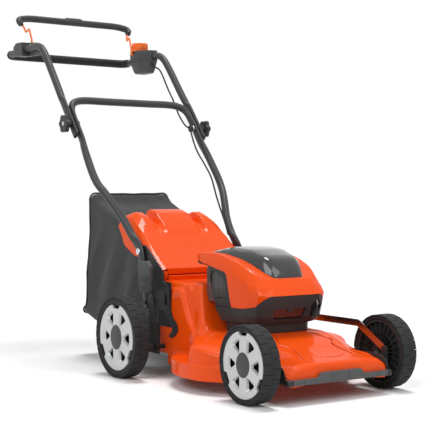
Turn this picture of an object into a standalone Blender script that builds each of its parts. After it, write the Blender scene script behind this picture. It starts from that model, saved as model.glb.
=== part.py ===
# Cordless lawn mower with a rear grass bag. Metres, +Z up, +X is the mower's left side, +Y its rear.
# Sizes are written with the front axle at y = 0 and the ground at z = 0.
# Everything hangs on one empty that puts the origin under the middle of the whole mower.
import math

import bmesh
import bpy
from mathutils import Vector

# Fits
GAP = 0.0003            # between pieces that touch
RUN = 0.0005            # running clearance of a turning fit, on the radius

# Wheels
WHEEL_BASE = 0.476      # front axle to rear axle
FRONT_RADIUS = 0.0861
REAR_RADIUS = 0.100
WHEEL_WIDTH = 0.0416
FRONT_TRACK = 0.2154    # middle of the mower to the outer face of a front wheel
REAR_TRACK = 0.2582
FRONT_CAP_RADIUS = 0.0734
REAR_CAP_RADIUS = 0.0818
STUB_RADIUS = 0.006
HUB_RADIUS = 0.015
TYRE_SIDES = 32
RIM_SIDES = 20

# Cutting height: cranked axles that turn together
CRANK = 0.050           # from the fixed rod to the wheel's stub
CRANK_ANGLE = 30.0      # stub above the rod at the lowest cutting height, degrees
ROD_RADIUS = 0.006
LINK_PIN_BACK = 0.0040
LINK_PIN_UP = 0.0369
LINK_INNER = 0.1585     # inner face of the flat connecting rod
LINK_THICK = 0.003
LINK_TALL = 0.016
LINK_RUN_Z = 0.149
LINK_PIN_RADIUS = 0.004
LEVER_INNER = 0.168
LEVER_THICK = 0.004
CRANK_RUN = 0.014       # how far a crank spreads sideways

# Deck
SHAFT_Y = 0.210         # blade shaft behind the front axle
WALL = 0.003
SKIRT_BOTTOM = 0.030
SKIRT_RADIUS = 0.2215
FLANGE_Z = 0.064
FLANGE_STEP = 0.006
APRON_FRONT = -0.068
APRON_HALF = 0.146
APRON_BOTTOM = 0.044
APRON_EDGE_Z = 0.085
ARCH_REAR = 0.098       # rear end of the straight stretch beside a front wheel
ARCH_CORNER = 0.170     # half width of that stretch
DECK_TOP = 0.130
HOOD_EDGE = 0.119       # outer edge of the raised middle
RING_SHOULDER = 0.107
FRONT_FALL = 0.018      # drop of shoulder and edge towards the front
HOUSE_HALF = 0.143
HOUSE_TOP = 0.236
HOUSE_SHOULDER = 0.222
HOUSE_REAR = 0.458
CHAMBER_REAR = 0.417
TUNNEL_FLOOR = 0.091
CHEEK_BOTTOM = 0.058
CHEEK_FRONT = 0.405

# Motor pedestal
PEDESTAL_REAR = 0.248

# Bumper
BUMPER_DEEP = 0.0085
BUMPER_HALF = 0.134
BUMPER_BOTTOM = 0.0435
BUMPER_END_TOP = 0.0555
BUMPER_MID_TOP = 0.0665
BUMPER_MID_HALF = 0.055

# Motor cover
COVER_BOTTOM = 0.156
COVER_WALL = 0.0028
BELT_FRONT_Z = 0.219
BELT_CORNER_Z = 0.194
BELT_SIDE_Z = 0.187
VENT_FRONT = 0.192
VENT_REAR = 0.306
VENT_TOP = 0.270
CROWN_LIFT = 0.001
LID_SINK = 0.003
LID_FRONT = 0.113
LID_REAR = 0.316
LID_RISE = 0.022
LID_WALL = 0.0025
BAY_HALF = 0.050
BAY_FRONT = 0.140
BAY_REAR = 0.272

# Motor and battery
STATOR_RADIUS = 0.050
ROTOR_RADIUS = 0.030
MOTOR_LOW = 0.162
MOTOR_HIGH = 0.214
SHAFT_RADIUS = 0.006
TRAY_FLOOR = 0.2225
BATTERY_TALL = 0.050

# Blade
BLADE_RADIUS = 0.192
BLADE_WIDE = 0.050
BLADE_THICK = 0.003
BLADE_Z = 0.037

# Rear flap
FLAP_HALF = 0.137
FLAP_WALL = 0.0025
HINGE_Y = 0.460
HINGE_Z = 0.2545
HINGE_RADIUS = 0.0028
KNUCKLE_RADIUS = 0.0055
KNUCKLE_HALF = 0.118
EAR_WIDE = 0.010

# Grass bag
BAG_HALF = 0.128
BAG_REAR = 0.885
BAG_TOP = 0.455
BAG_WALL = 0.002
BAG_FRAME_DEEP = 0.007
BAG_FRAME_WIDE = 0.012

# Handle
TUBE_RADIUS = 0.0103
TUBE_WALL = 0.0015
TUBE_SIDES = 10
BRACKET_THICK = 0.0035
LEG_FLAT = 0.012        # thickness of the flattened foot of a leg
JOINT_Y = 0.808
JOINT_Z = 0.643
JOINT_FLAT = 0.0125     # thickness of a tube where the two handles lie side by side
LOWER_JOINT_X = 0.1925
CROSS_Y = 0.862
CROSS_Z = 0.7125
FOOT_BOLT_Y = 0.531
FOOT_BOLT_Z = 0.306
STUD_Y = 0.4965
STUD_Z = 0.180
BOLT_RADIUS = 0.004
GRIP_Y = 1.234
GRIP_Z = 0.8708
GRIP_BACK = 0.022        # how far the grip's sleeve reaches round its corners
SLEEVE_RADIUS = 0.0125
KNOB_RADIUS = 0.026
KNOB_THICK = 0.0215
BAIL_Y = 1.135
BAIL_Z = 0.8895          # pivot of the bail
BAIL_WIRE = 0.0025
BAIL_WIRE_X = 0.1700
BAIL_RADIUS = 0.0096
BUTTON_RADIUS = 0.0255
BUTTON_SEAT = 0.008      # depth of the well that the start button stands in
BUTTON_TALL = 0.0235
BUTTON_TRAVEL = 0.004
CABLE_RADIUS = 0.0024
CLIP_RADIUS = 0.010
CLIP_X = 0.1735         # middle of the cables where they pass the clip

FRONT_Z = FRONT_RADIUS
REAR_Z = REAR_RADIUS
REAR_MOST = GRIP_Y + SLEEVE_RADIUS
MIDDLE_Y = (REAR_MOST - FRONT_RADIUS) / 2


# General helpers

def clear_scene():
    for obj in list(bpy.data.objects):
        bpy.data.objects.remove(obj, do_unlink=True)


def make_material(name, colour, roughness, metallic=0.0):
    material = bpy.data.materials.new(name)
    material.use_nodes = True
    shader = material.node_tree.nodes["Principled BSDF"]
    shader.inputs["Base Color"].default_value = (*colour, 1.0)
    shader.inputs["Roughness"].default_value = roughness
    shader.inputs["Metallic"].default_value = metallic
    material.diffuse_color = (*colour, 1.0)
    return material


def add_empty(name, place, parent=None):
    empty = bpy.data.objects.new(name, None)
    empty.location = Vector(place) - (world_place(parent) if parent else Vector())
    empty.parent = parent
    empty["place"] = list(place)
    bpy.context.collection.objects.link(empty)
    return empty


def world_place(empty):
    """Where an empty lies, in the sizes' own coordinates."""
    return Vector(empty["place"])


def add_object(name, mesh_builder, material, parent, sharp=35.0):
    """Turns a filled bmesh, in the sizes' own coordinates, into a part hung on an empty."""
    bm = mesh_builder
    bmesh.ops.recalc_face_normals(bm, faces=bm.faces)
    mesh = bpy.data.meshes.new(name)
    bmesh.ops.translate(bm, verts=bm.verts, vec=-world_place(parent))
    bm.to_mesh(mesh)
    bm.free()
    mesh.materials.append(material)
    mesh.shade_smooth()
    mesh.set_sharp_from_angle(angle=math.radians(sharp))
    obj = bpy.data.objects.new(name, mesh)
    obj.parent = parent
    bpy.context.collection.objects.link(obj)
    return obj


def cutter(name, bm, parent):
    """A guide shape for a Boolean, left out of the model itself."""
    obj = add_object(name, bm, MATERIALS["guide"], parent)
    obj.hide_render = True
    obj.display_type = "WIRE"
    return obj


def boolean(obj, other, operation="DIFFERENCE"):
    modifier = obj.modifiers.new(operation.lower(), "BOOLEAN")
    modifier.operation = operation
    modifier.solver = "EXACT"
    modifier.object = other
    return modifier


def solidify(obj, thickness):
    modifier = obj.modifiers.new("wall", "SOLIDIFY")
    modifier.thickness = thickness
    modifier.offset = -1.0
    modifier.use_even_offset = True
    modifier.use_rim = True
    return modifier


def bevel(obj, width, segments=1, angle=40.0):
    modifier = obj.modifiers.new("edge", "BEVEL")
    modifier.width = width
    modifier.segments = segments
    modifier.limit_method = "ANGLE"
    modifier.angle_limit = math.radians(angle)
    return modifier


# Shapes

def bridge(bm, first, second, closed=True):
    count = len(first)
    last = count if closed else count - 1
    for i in range(last):
        j = (i + 1) % count
        bm.faces.new((first[i], first[j], second[j], second[i]))


def loft(bm, rings, cap_start=True, cap_end=True):
    """Skins a list of closed rings of points, each with the same count."""
    rows = [[bm.verts.new(point) for point in ring] for ring in rings]
    for first, second in zip(rows, rows[1:]):
        bridge(bm, first, second)
    if cap_start:
        bm.faces.new(rows[0])
    if cap_end:
        bm.faces.new(list(reversed(rows[-1])))
    return rows


def box(bm, low, high):
    ring = [(low[0], low[1]), (high[0], low[1]), (high[0], high[1]), (low[0], high[1])]
    loft(bm, [[(x, y, z) for x, y in ring] for z in (low[2], high[2])])


AXES = {"x": lambda a, b, t: (t, a, b), "y": lambda a, b, t: (a, t, b), "z": lambda a, b, t: (a, b, t)}


def prism(bm, outline, axis, start, stop):
    """Extrudes an outline given in the plane across the axis."""
    place = AXES[axis]
    loft(bm, [[place(a, b, t) for a, b in outline] for t in (start, stop)])


def circle(centre, radius, sides, phase=0.0):
    step = 2 * math.pi / sides
    return [(centre[0] + radius * math.cos(step * i + phase), centre[1] + radius * math.sin(step * i + phase))
            for i in range(sides)]


def rod(bm, axis, centre, radius, start, stop, sides=16, phase=0.0):
    prism(bm, circle(centre, radius, sides, phase), axis, start, stop)


def circle_ring(centre, radius, z, sides=20):
    return [(x, y, z) for x, y in circle(centre, radius, sides)]


def lathe(bm, profile, axis, centre, sides, phase=0.0):
    """Turns a closed profile of (radius, along) points about an axis."""
    place = AXES[axis]
    rows = []
    for i in range(sides):
        angle = 2 * math.pi * i / sides + phase
        rows.append([bm.verts.new(place(centre[0] + r * math.cos(angle), centre[1] + r * math.sin(angle), t))
                     for r, t in profile])
    for i in range(sides):
        bridge(bm, rows[i], rows[(i + 1) % sides])


def rounded(points, radius, steps=4):
    """Rounds the inner corners of a polyline with arcs."""
    path = [Vector(points[0])]
    for before, corner, after in zip(points, points[1:], points[2:]):
        corner = Vector(corner)
        back = Vector(before) - corner
        ahead = Vector(after) - corner
        turn = back.angle(ahead)
        reach = min(radius / math.tan(turn / 2), back.length * 0.49, ahead.length * 0.49)
        start = corner + back.normalized() * reach
        stop = corner + ahead.normalized() * reach
        for i in range(steps + 1):
            t = i / steps
            path.append(start * (1 - t) ** 2 + corner * 2 * t * (1 - t) + stop * t ** 2)
    path.append(Vector(points[-1]))
    return path


def sweep_rings(path, sections, sides, phase=0.0):
    """Rings of an oval section carried along a path; a section is (across, along) half sizes."""
    side = None
    rings = []
    for i, point in enumerate(path):
        ahead = path[min(i + 1, len(path) - 1)]
        behind = path[max(i - 1, 0)]
        forward = (Vector(ahead) - Vector(behind)).normalized()
        if side is None:
            side = Vector((1, 0, 0)) if abs(forward.x) < 0.9 else Vector((0, 0, 1))
        side = (side - forward * side.dot(forward)).normalized()
        other = forward.cross(side)
        a, b = sections[i] if isinstance(sections, list) else sections
        rings.append([Vector(point) + side * a * math.cos(2 * math.pi * k / sides + phase)
                      + other * b * math.sin(2 * math.pi * k / sides + phase) for k in range(sides)])
    return rings


def sweep(bm, path, sections, sides, phase=0.0):
    loft(bm, sweep_rings(path, sections, sides, phase))


def hollow_sweep(bm, path, sections, wall, sides):
    """A tube with its ends open."""
    inner = [(a - wall, b - wall) for a, b in sections]
    outside = [[bm.verts.new(p) for p in ring] for ring in sweep_rings(path, sections, sides)]
    inside = [[bm.verts.new(p) for p in ring] for ring in sweep_rings(path, inner, sides)]
    for rows in (outside, inside):
        for first, second in zip(rows, rows[1:]):
            bridge(bm, first, second)
    bridge(bm, outside[0], inside[0])
    bridge(bm, outside[-1], inside[-1])


def mirrored(points):
    """A half outline from its edge to the middle line, carried on to the other side."""
    return points + [(-p[0], *p[1:]) for p in reversed(points[:-1])]


def smooth(t):
    t = min(max(t, 0.0), 1.0)
    return t * t * (3 - 2 * t)


def along(table, y):
    """Straight-line reading of a short list of (place, value) pairs."""
    if y <= table[0][0]:
        return table[0][1]
    for (y0, v0), (y1, v1) in zip(table, table[1:]):
        if y <= y1:
            return v0 + (v1 - v0) * (y - y0) / (y1 - y0)
    return table[-1][1]


# Deck

def ring_half(y, radius):
    """Half width of a round outline about the blade shaft."""
    return math.sqrt(max(radius ** 2 - (y - SHAFT_Y) ** 2, 0.0))


def rise(y, start, stop, power):
    return min(max((y - start) / (stop - start), 0.0), 1.0) ** power


def skirt_half(y):
    """Half width of the deck's lower edge."""
    if y < ARCH_REAR:
        apron = APRON_HALF - 0.012 * (1 - min((y - APRON_FRONT) / 0.012, 1.0)) ** 2
        return max(apron, min(ring_half(y, SKIRT_RADIUS), ARCH_CORNER))
    if y < SHAFT_Y - 0.05:
        t = (y - ARCH_REAR) / (SHAFT_Y - 0.05 - ARCH_REAR)
        full = ring_half(SHAFT_Y - 0.05, SKIRT_RADIUS)
        return ARCH_CORNER + (full - ARCH_CORNER) * t ** 0.7
    return max(ring_half(y, SKIRT_RADIUS), HOUSE_HALF)


def upper_half(y):
    """Half width of the wall above the flange, drawn in early beside the rear housing."""
    lower = skirt_half(y) - 0.002 - (FLANGE_STEP - 0.002) * smooth((y - 0.045) / 0.05)
    drawn = HOUSE_HALF + (0.205 - HOUSE_HALF) * (1 - smooth((y - SHAFT_Y + 0.01) / 0.12))
    return max(min(lower, drawn), HOUSE_HALF) if y > SHAFT_Y else lower


def deck_section(y):
    """Half section of the deck's outside at y, from the lower edge to the middle."""
    skirt = skirt_half(y)
    upper = upper_half(y)
    bottom = along([(-0.03, APRON_BOTTOM), (0.04, SKIRT_BOTTOM), (CHEEK_FRONT, SKIRT_BOTTOM),
                    (CHEEK_FRONT + 0.001, CHEEK_BOTTOM)], y)
    slope = smooth((y - APRON_FRONT) / (0.115 - APRON_FRONT)) * 0.6 + 0.4 * min((y - APRON_FRONT) / 0.183,
                                                                                1.0)
    apron = APRON_EDGE_Z + (DECK_TOP - APRON_EDGE_Z) * slope
    climb = rise(y, SHAFT_Y - 0.010, SHAFT_Y + 0.133, 4)
    fall = FRONT_FALL * smooth((SHAFT_Y - 0.020 - y) / 0.10)
    shoulder = RING_SHOULDER - fall + (HOUSE_SHOULDER - RING_SHOULDER) * rise(y, SHAFT_Y - 0.010,
                                                                              SHAFT_Y + 0.150, 4)
    edge = HOOD_EDGE - fall * 0.8 + (HOUSE_TOP - HOOD_EDGE) * climb
    crown = DECK_TOP + (HOUSE_TOP - DECK_TOP) * rise(y, PEDESTAL_REAR + 0.002, 0.310, 2)
    if y < 0.115:
        drop = 0.017 * smooth((0.02 - y) / 0.08)
        front = APRON_EDGE_Z - 0.019 * (1 - min((y - APRON_FRONT) / 0.008, 1.0)) ** 2
        crown = min(apron, front + (y - APRON_FRONT) * 2)
        shoulder = min(RING_SHOULDER - fall, crown - 0.008 - drop * 0.3)
        edge = min(crown - 0.002 - 0.013 * smooth((y + 0.05) / 0.05), edge)
    flange = min(FLANGE_Z, shoulder - 0.016)
    top = min(along([(0.0, 0.118), (HOUSE_HALF - 0.013, 0.140), (0.26, 0.142), (0.34, 0.131)], y),
              upper - 0.016)
    run = 0.012 + 0.020 * smooth((SHAFT_Y + 0.030 - y) / 0.08)
    return [(skirt, bottom), (skirt, flange), (upper, flange + 0.005), (upper, shoulder - 0.010),
            (upper - 0.004, shoulder - 0.003), (upper - 0.012, shoulder + 0.001),
            (top, edge), (top - run, crown - 0.001), (0.060, crown), (0.0, crown)]


DECK_STATIONS = [-0.068, -0.0655, -0.061, -0.050, -0.025, 0.010, 0.0434, 0.055, 0.068, 0.098, 0.107, 0.120,
                 0.140,
                 0.160, 0.185, 0.210, 0.235, 0.250, 0.262, 0.272, 0.283, 0.296, 0.308, 0.320, 0.332, 0.343,
                 0.360,
                 0.380, 0.4045, 0.4065, 0.458]


def deck_stations():
    """Places of the deck's sections, moved with the sizes that they belong to."""
    fixed = {-0.068: APRON_FRONT, 0.098: ARCH_REAR, 0.210: SHAFT_Y,
             0.4045: CHEEK_FRONT - 0.0005, 0.4065: CHEEK_FRONT + 0.0015, 0.458: HOUSE_REAR}
    return [fixed.get(y, y) for y in DECK_STATIONS]


def rod_centre(axle_y, axle_z):
    """The fixed rod that an axle's crank turns about."""
    angle = math.radians(CRANK_ANGLE)
    return (axle_y - CRANK * math.cos(angle), axle_z - CRANK * math.sin(angle))


FRONT_ROD = rod_centre(0.0, FRONT_Z)
REAR_ROD = rod_centre(WHEEL_BASE, REAR_Z)


def build_deck(root):
    bm = bmesh.new()
    rows = []
    for y in deck_stations():
        half = mirrored(deck_section(y))
        rows.append([bm.verts.new((x, y, z)) for x, z in half])
    for first, second in zip(rows, rows[1:]):
        bridge(bm, first, second, closed=False)
    bm.faces.new(rows[0])
    deck = add_object("deck", bm, MATERIALS["orange"], root)
    solidify(deck, WALL)

    bm = bmesh.new()
    inner = HOUSE_HALF - WALL / 2
    floor = [(CHAMBER_REAR - WALL, SKIRT_BOTTOM + 0.002), (CHAMBER_REAR, SKIRT_BOTTOM + 0.002),
             (CHAMBER_REAR, TUNNEL_FLOOR - WALL), (HOUSE_REAR - 0.001, TUNNEL_FLOOR - WALL),
             (HOUSE_REAR - 0.001, TUNNEL_FLOOR), (CHAMBER_REAR - WALL, TUNNEL_FLOOR)]
    prism(bm, floor, "x", -inner, inner)
    boolean(deck, cutter("tunnel_floor", bm, root), "UNION")

    for side, label in ((1, "left"), (-1, "right")):
        bm = bmesh.new()
        ear = [(HINGE_Y - KNUCKLE_RADIUS, HOUSE_TOP - WALL / 2), (HOUSE_REAR - 0.001, HOUSE_TOP - WALL / 2),
               (HINGE_Y + KNUCKLE_RADIUS, HINGE_Z), (HINGE_Y + 0.004, HINGE_Z + 0.004),
               (HINGE_Y, HINGE_Z + KNUCKLE_RADIUS), (HINGE_Y - 0.004, HINGE_Z + 0.004),
               (HINGE_Y - KNUCKLE_RADIUS, HINGE_Z)]
        inside = side * (KNUCKLE_HALF + GAP)
        prism(bm, ear, "x", inside, inside + side * EAR_WIDE)
        boolean(deck, cutter("hinge_ear_" + label, bm, root), "UNION")

    holes = [("hinge_hole", (HINGE_Y, HINGE_Z), HINGE_RADIUS + GAP, 0.16),
             ("front_rod_hole", FRONT_ROD, ROD_RADIUS + RUN, 0.18),
             ("rear_rod_hole", REAR_ROD, ROD_RADIUS + RUN, 0.18)]
    for name, centre, radius, reach in holes:
        bm = bmesh.new()
        rod(bm, "x", centre, radius, -reach, reach)
        boolean(deck, cutter(name, bm, root))
    bm = bmesh.new()
    rod(bm, "z", (0.0, SHAFT_Y), SHAFT_RADIUS + 0.002, DECK_TOP - 0.02, DECK_TOP + 0.02)
    boolean(deck, cutter("shaft_hole", bm, root))


def build_bumper(root):
    bm = bmesh.new()
    slope = 0.010
    half = [(BUMPER_HALF, BUMPER_BOTTOM), (BUMPER_HALF, BUMPER_END_TOP), (BUMPER_MID_HALF + slope,
                                                                          BUMPER_END_TOP),
            (BUMPER_MID_HALF, BUMPER_MID_TOP)]
    outline = half + [(-x, z) for x, z in reversed(half)]
    back = APRON_FRONT - GAP
    prism(bm, outline, "y", back - BUMPER_DEEP, back)
    bumper = add_object("front_bumper", bm, MATERIALS["grey_plastic"], root)
    bevel(bumper, 0.002)


def build_pedestal(root):
    """Dark foot of the motor cover, open underneath."""
    bm = bmesh.new()
    low = DECK_TOP + GAP
    high = COVER_BOTTOM - GAP
    rear = PEDESTAL_REAR
    half = [(0.0, 0.121), (0.0575, 0.123), (0.078, 0.142), (0.092, 0.165), (0.092, rear - 0.012),
            (0.080, rear), (0.0, rear)]
    ledge = [(0.0, 0.110), (0.064, 0.111), (0.086, 0.125), (0.101, 0.162), (0.101, rear), (0.086, rear + 0.013),
             (0.0, rear + 0.013)]
    outline = half + [(-x, y) for x, y in reversed(half[1:-1])]
    rim = ledge + [(-x, y) for x, y in reversed(ledge[1:-1])]
    loft(bm, [[(x, y, low) for x, y in outline], [(x, y, high) for x, y in outline]], cap_start=False)
    pedestal = add_object("motor_pedestal", bm, MATERIALS["dark_plastic"], root)
    solidify(pedestal, WALL)
    bm = bmesh.new()
    prism(bm, rim, "z", high - 0.003, high)
    boolean(pedestal, cutter("pedestal_ledge", bm, root), "UNION")
    bm = bmesh.new()
    rod(bm, "z", (0.0, SHAFT_Y), SHAFT_RADIUS + 0.004, low, high + 0.01)
    boolean(pedestal, cutter("pedestal_hole", bm, root))


# Motor cover: one outer form, cut into the orange cover, the dark belt and the side vents

COVER_LEVELS = [(0.00, 0.110, 0.262, 0.101), (0.13, 0.100, 0.276, 0.107), (0.36, 0.092, 0.293, 0.109),
                (0.67, 0.082, 0.308, 0.109), (0.80, 0.090, 0.316, 0.107), (0.85, 0.094, 0.358, 0.106),
                (1.00, 0.108, 0.374, 0.099)]


def cover_edge_z(y):
    """Height of the cover's upper edge, round the battery lid."""
    return along([(0.085, 0.250), (0.113, 0.256), (0.150, 0.278), (0.200, 0.297), (0.260, 0.309),
                  (0.313, 0.311),
                  (0.370, 0.303)], y)


def cover_outline(front, rear, half):
    """Plan of the cover from the middle of its front round to the middle of its rear."""
    shares = [(0.0, 0.0), (0.42, 0.002), (0.62, 0.008), (0.78, 0.040), (0.877, 0.085), (0.955, 0.200),
              (1.0, 0.400), (1.0, 0.740), (0.985, 0.880), (0.91, 0.965), (0.64, 0.992), (0.0, 1.0)]
    plan = [(half * across, front + (rear - front) * back) for across, back in shares]
    return plan + [(-x, y) for x, y in reversed(plan[1:-1])]


def cover_surface(bm, closed=False):
    """Shell of the whole cover: sides from the lower edge up, then the crown under the lid."""
    rings = []
    for level, front, rear, half in COVER_LEVELS:
        rings.append([(x, y, COVER_BOTTOM + level * (cover_edge_z(y) - COVER_BOTTOM))
                      for x, y in cover_outline(front, rear, half)])
    middle = 0.225
    for inset, lift in ((0.90, 0.0005), (0.55, CROWN_LIFT), (0.15, CROWN_LIFT)):
        rings.append([(x * inset, middle + (y - middle) * inset,
                       cover_edge_z(middle + (y - middle) * inset) + lift)
                      for x, y in cover_outline(*COVER_LEVELS[-1][1:])])
    loft(bm, rings, cap_start=closed)
    bmesh.ops.triangulate(bm, faces=bm.faces)


def cover_shell(name, material, root, inset=0.0, wall=COVER_WALL):
    bm = bmesh.new()
    cover_surface(bm)
    obj = add_object(name, bm, material, root)
    if inset:
        skin = obj.modifiers.new("inset", "DISPLACE")
        skin.mid_level = 0.0
        skin.strength = -inset
    solidify(obj, wall)
    return obj


def belt_line(offset):
    """Side view of the line between the belt and the orange cover, shifted up by an offset."""
    return [(0.060, BELT_FRONT_Z + 0.001 + offset), (0.086, BELT_FRONT_Z + offset),
            (0.113, BELT_CORNER_Z + offset), (0.150, BELT_SIDE_Z + 0.001 + offset),
            (0.420, BELT_SIDE_Z + offset)]


def vent_outline(grow):
    """Side view of a vent window; it grows or shrinks by a margin."""
    low = BELT_SIDE_Z - grow if grow < 0 else BELT_SIDE_Z - 0.004
    rear = 0.340
    lean = 0.2
    return [(VENT_FRONT - grow - lean * (BELT_SIDE_Z - low), low), (rear, low),
            (rear, VENT_TOP + 0.012 + grow),
            (VENT_REAR, VENT_TOP + 0.014 + grow), (VENT_FRONT + 0.032, VENT_TOP + grow),
            (VENT_FRONT + 0.017 - grow, VENT_TOP - 0.012 + grow)]


def build_motor_cover(root):
    above = [(0.420, 0.40), (0.060, 0.40)]
    below = [(0.420, 0.10), (0.060, 0.10)]
    cover = cover_shell("motor_cover", MATERIALS["orange"], root)
    bm = bmesh.new()
    prism(bm, belt_line(GAP / 2) + below, "x", -0.2, 0.2)
    boolean(cover, cutter("cover_lower_cut", bm, root))
    for side, label in ((1, "left"), (-1, "right")):
        bm = bmesh.new()
        prism(bm, vent_outline(0.0), "x", side * 0.078, side * 0.2)
        boolean(cover, cutter("vent_cut_" + label, bm, root))
    bm = bmesh.new()
    box(bm, (-BAY_HALF, BAY_FRONT, 0.23), (BAY_HALF, BAY_REAR, 0.36))
    boolean(cover, cutter("bay_cut", bm, root))

    belt = cover_shell("cover_belt", MATERIALS["dark_plastic"], root)
    bm = bmesh.new()
    prism(bm, belt_line(-GAP / 2) + above, "x", -0.2, 0.2)
    boolean(belt, cutter("belt_upper_cut", bm, root))
    bm = bmesh.new()
    for i in range(4):
        x = -0.036 + 0.024 * i
        box(bm, (x - 0.008, 0.05, 0.176), (x + 0.008, 0.150, 0.188))
    boolean(belt, cutter("belt_vent_cut", bm, root))
    bm = bmesh.new()
    box(bm, (-0.15, VENT_FRONT - 2 * GAP, BELT_SIDE_Z - 0.004), (0.15, 0.345, 0.30))
    boolean(belt, cutter("belt_side_cut", bm, root))

    for side, label in ((1, "left"), (-1, "right")):
        vent = cover_shell("side_vent_" + label, MATERIALS["dark_plastic"], root)
        bm = bmesh.new()
        prism(bm, vent_outline(-GAP), "x", side * (0.078 + GAP), side * 0.2)
        boolean(vent, cutter("vent_panel_" + label, bm, root), "INTERSECT")


def lid_sections():
    """Half sections of the lid's outside along the mower, from its edge to the middle."""
    rows = []
    for y, half, lift in ((LID_FRONT, 0.043, 0.004), (0.1165, 0.0445, 0.012), (0.124, 0.049, 0.022),
                          (0.137, 0.055, 0.030), (0.150, 0.059, 0.030), (0.175, 0.065, 0.0275), (0.200, 0.070,
                                                                                                 0.0250),
                          (0.230, 0.074, LID_RISE), (0.260, 0.077, 0.018), (0.290, 0.080, 0.0125),
                          (0.313, 0.081, 0.0075), (LID_REAR, 0.081, 0.0060)):
        base = cover_edge_z(y) + CROWN_LIFT - LID_SINK
        rows.append((y, [(half, base), (half - 0.003, base + 0.35 * lift), (half * 0.84, base + 0.75 * lift),
                         (half * 0.70, base + 0.95 * lift), (half * 0.35, base + lift + 0.001),
                         (0.0, base + lift + 0.0015)]))
    return rows


def build_lid(lid_empty):
    bm = bmesh.new()
    rows = [[bm.verts.new((x, y, z)) for x, z in mirrored(half)] for y, half in lid_sections()]
    for first, second in zip(rows, rows[1:]):
        bridge(bm, first, second, closed=False)
    bm.faces.new(rows[0])
    bm.faces.new(rows[-1])
    lid = add_object("battery_lid", bm, MATERIALS["gloss_black"], lid_empty)
    solidify(lid, LID_WALL)
    bm = bmesh.new()
    cover_surface(bm, closed=True)
    bmesh.ops.translate(bm, verts=bm.verts, vec=(0.0, 0.0, GAP))
    boolean(lid, cutter("lid_seat_cut", bm, lid_empty))


def build_power(root, battery_empty):
    """Tray, battery, controller board and motor stator inside the cover."""
    wall = 0.003
    half = BAY_HALF
    stand = COVER_BOTTOM
    top = 0.258
    bm = bmesh.new()
    inner = half - wall
    outline = [(half, stand), (half, top), (inner, top), (inner, TRAY_FLOOR + wall),
               (-inner, TRAY_FLOOR + wall),
               (-inner, top), (-half, top), (-half, stand), (-inner, stand), (-inner, TRAY_FLOOR),
               (inner, TRAY_FLOOR),
               (inner, stand)]
    prism(bm, outline, "y", BAY_FRONT, 0.246)
    add_object("battery_tray", bm, MATERIALS["dark_plastic"], root)

    bm = bmesh.new()
    low = TRAY_FLOOR + wall + GAP
    wide = inner - 0.004
    box(bm, (-wide, BAY_FRONT + 0.012, low), (wide, 0.244, low + BATTERY_TALL))
    battery = add_object("battery_pack", bm, MATERIALS["dark_plastic"], battery_empty)
    bevel(battery, 0.004, 2)
    bm = bmesh.new()
    rod(bm, "x", (0.198, low + BATTERY_TALL), 0.009, -0.03, 0.03)
    boolean(battery, cutter("battery_grip_cut", bm, battery_empty))

    bm = bmesh.new()
    box(bm, (-0.040, 0.155, MOTOR_HIGH + GAP), (0.040, 0.243, MOTOR_HIGH + GAP + 0.0016))
    add_object("controller_board", bm, MATERIALS["board"], root)

    bm = bmesh.new()
    bore = ROTOR_RADIUS + 0.0008
    shaft_bore = SHAFT_RADIUS + RUN
    foot = MOTOR_LOW + 0.0015
    lathe(bm, [(shaft_bore, stand), (0.038, stand), (0.038, MOTOR_LOW), (STATOR_RADIUS - 0.006, MOTOR_LOW),
               (STATOR_RADIUS - 0.006, MOTOR_HIGH), (bore, MOTOR_HIGH), (bore, foot), (shaft_bore, foot)],
          "z", (0.0, SHAFT_Y), 24)
    add_object("motor_stator", bm, MATERIALS["steel"], root)


def build_blade(blade_empty):
    """Blade, its holder, and the rotor with the shaft."""
    centre = (0.0, SHAFT_Y)
    bm = bmesh.new()
    tip = BLADE_WIDE / 2
    wing = BLADE_RADIUS * 0.68
    half = [(BLADE_RADIUS, tip - 0.008), (BLADE_RADIUS - 0.006, tip), (wing, tip), (wing - 0.020,
                                                                                    tip - 0.004)]
    mirror = [(-x, -y) for x, y in half]
    reach = BLADE_RADIUS - 0.002
    outline = [(wing, -tip), (reach, -tip), *half, (-wing, tip), (-reach, tip), *mirror]
    prism(bm, [(x, y + SHAFT_Y) for x, y in outline], "z", BLADE_Z, BLADE_Z + BLADE_THICK)
    blade = add_object("blade", bm, MATERIALS["steel"], blade_empty)
    bm = bmesh.new()
    rod(bm, "z", centre, SHAFT_RADIUS + GAP, BLADE_Z - 0.01, BLADE_Z + 0.01)
    boolean(blade, cutter("blade_hole", bm, blade_empty))

    high = BLADE_Z + BLADE_THICK + GAP
    bm = bmesh.new()
    lathe(bm, [(0.024, high), (0.024, high + 0.006), (0.012, high + 0.016), (SHAFT_RADIUS + GAP,
                                                                             high + 0.016),
               (SHAFT_RADIUS + GAP, high)], "z", centre, 24)
    add_object("blade_holder", bm, MATERIALS["aluminium"], blade_empty)

    bm = bmesh.new()
    low = BLADE_Z - GAP
    r = SHAFT_RADIUS
    profile = [(0.0, low - 0.006), (0.011, low - 0.006), (0.011, low), (r, low), (r, MOTOR_LOW + 0.003),
               (ROTOR_RADIUS, MOTOR_LOW + 0.003), (ROTOR_RADIUS, MOTOR_HIGH - 0.001),
               (0.0, MOTOR_HIGH - 0.001)]
    rings = [[(rr * math.cos(2 * math.pi * k / 24), SHAFT_Y + rr * math.sin(2 * math.pi * k / 24),
               z) for k in range(24)]
             for rr, z in profile[1:-1]]
    loft(bm, rings)
    add_object("motor_rotor", bm, MATERIALS["steel"], blade_empty)


# Wheels, axles and the cutting height linkage

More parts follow.
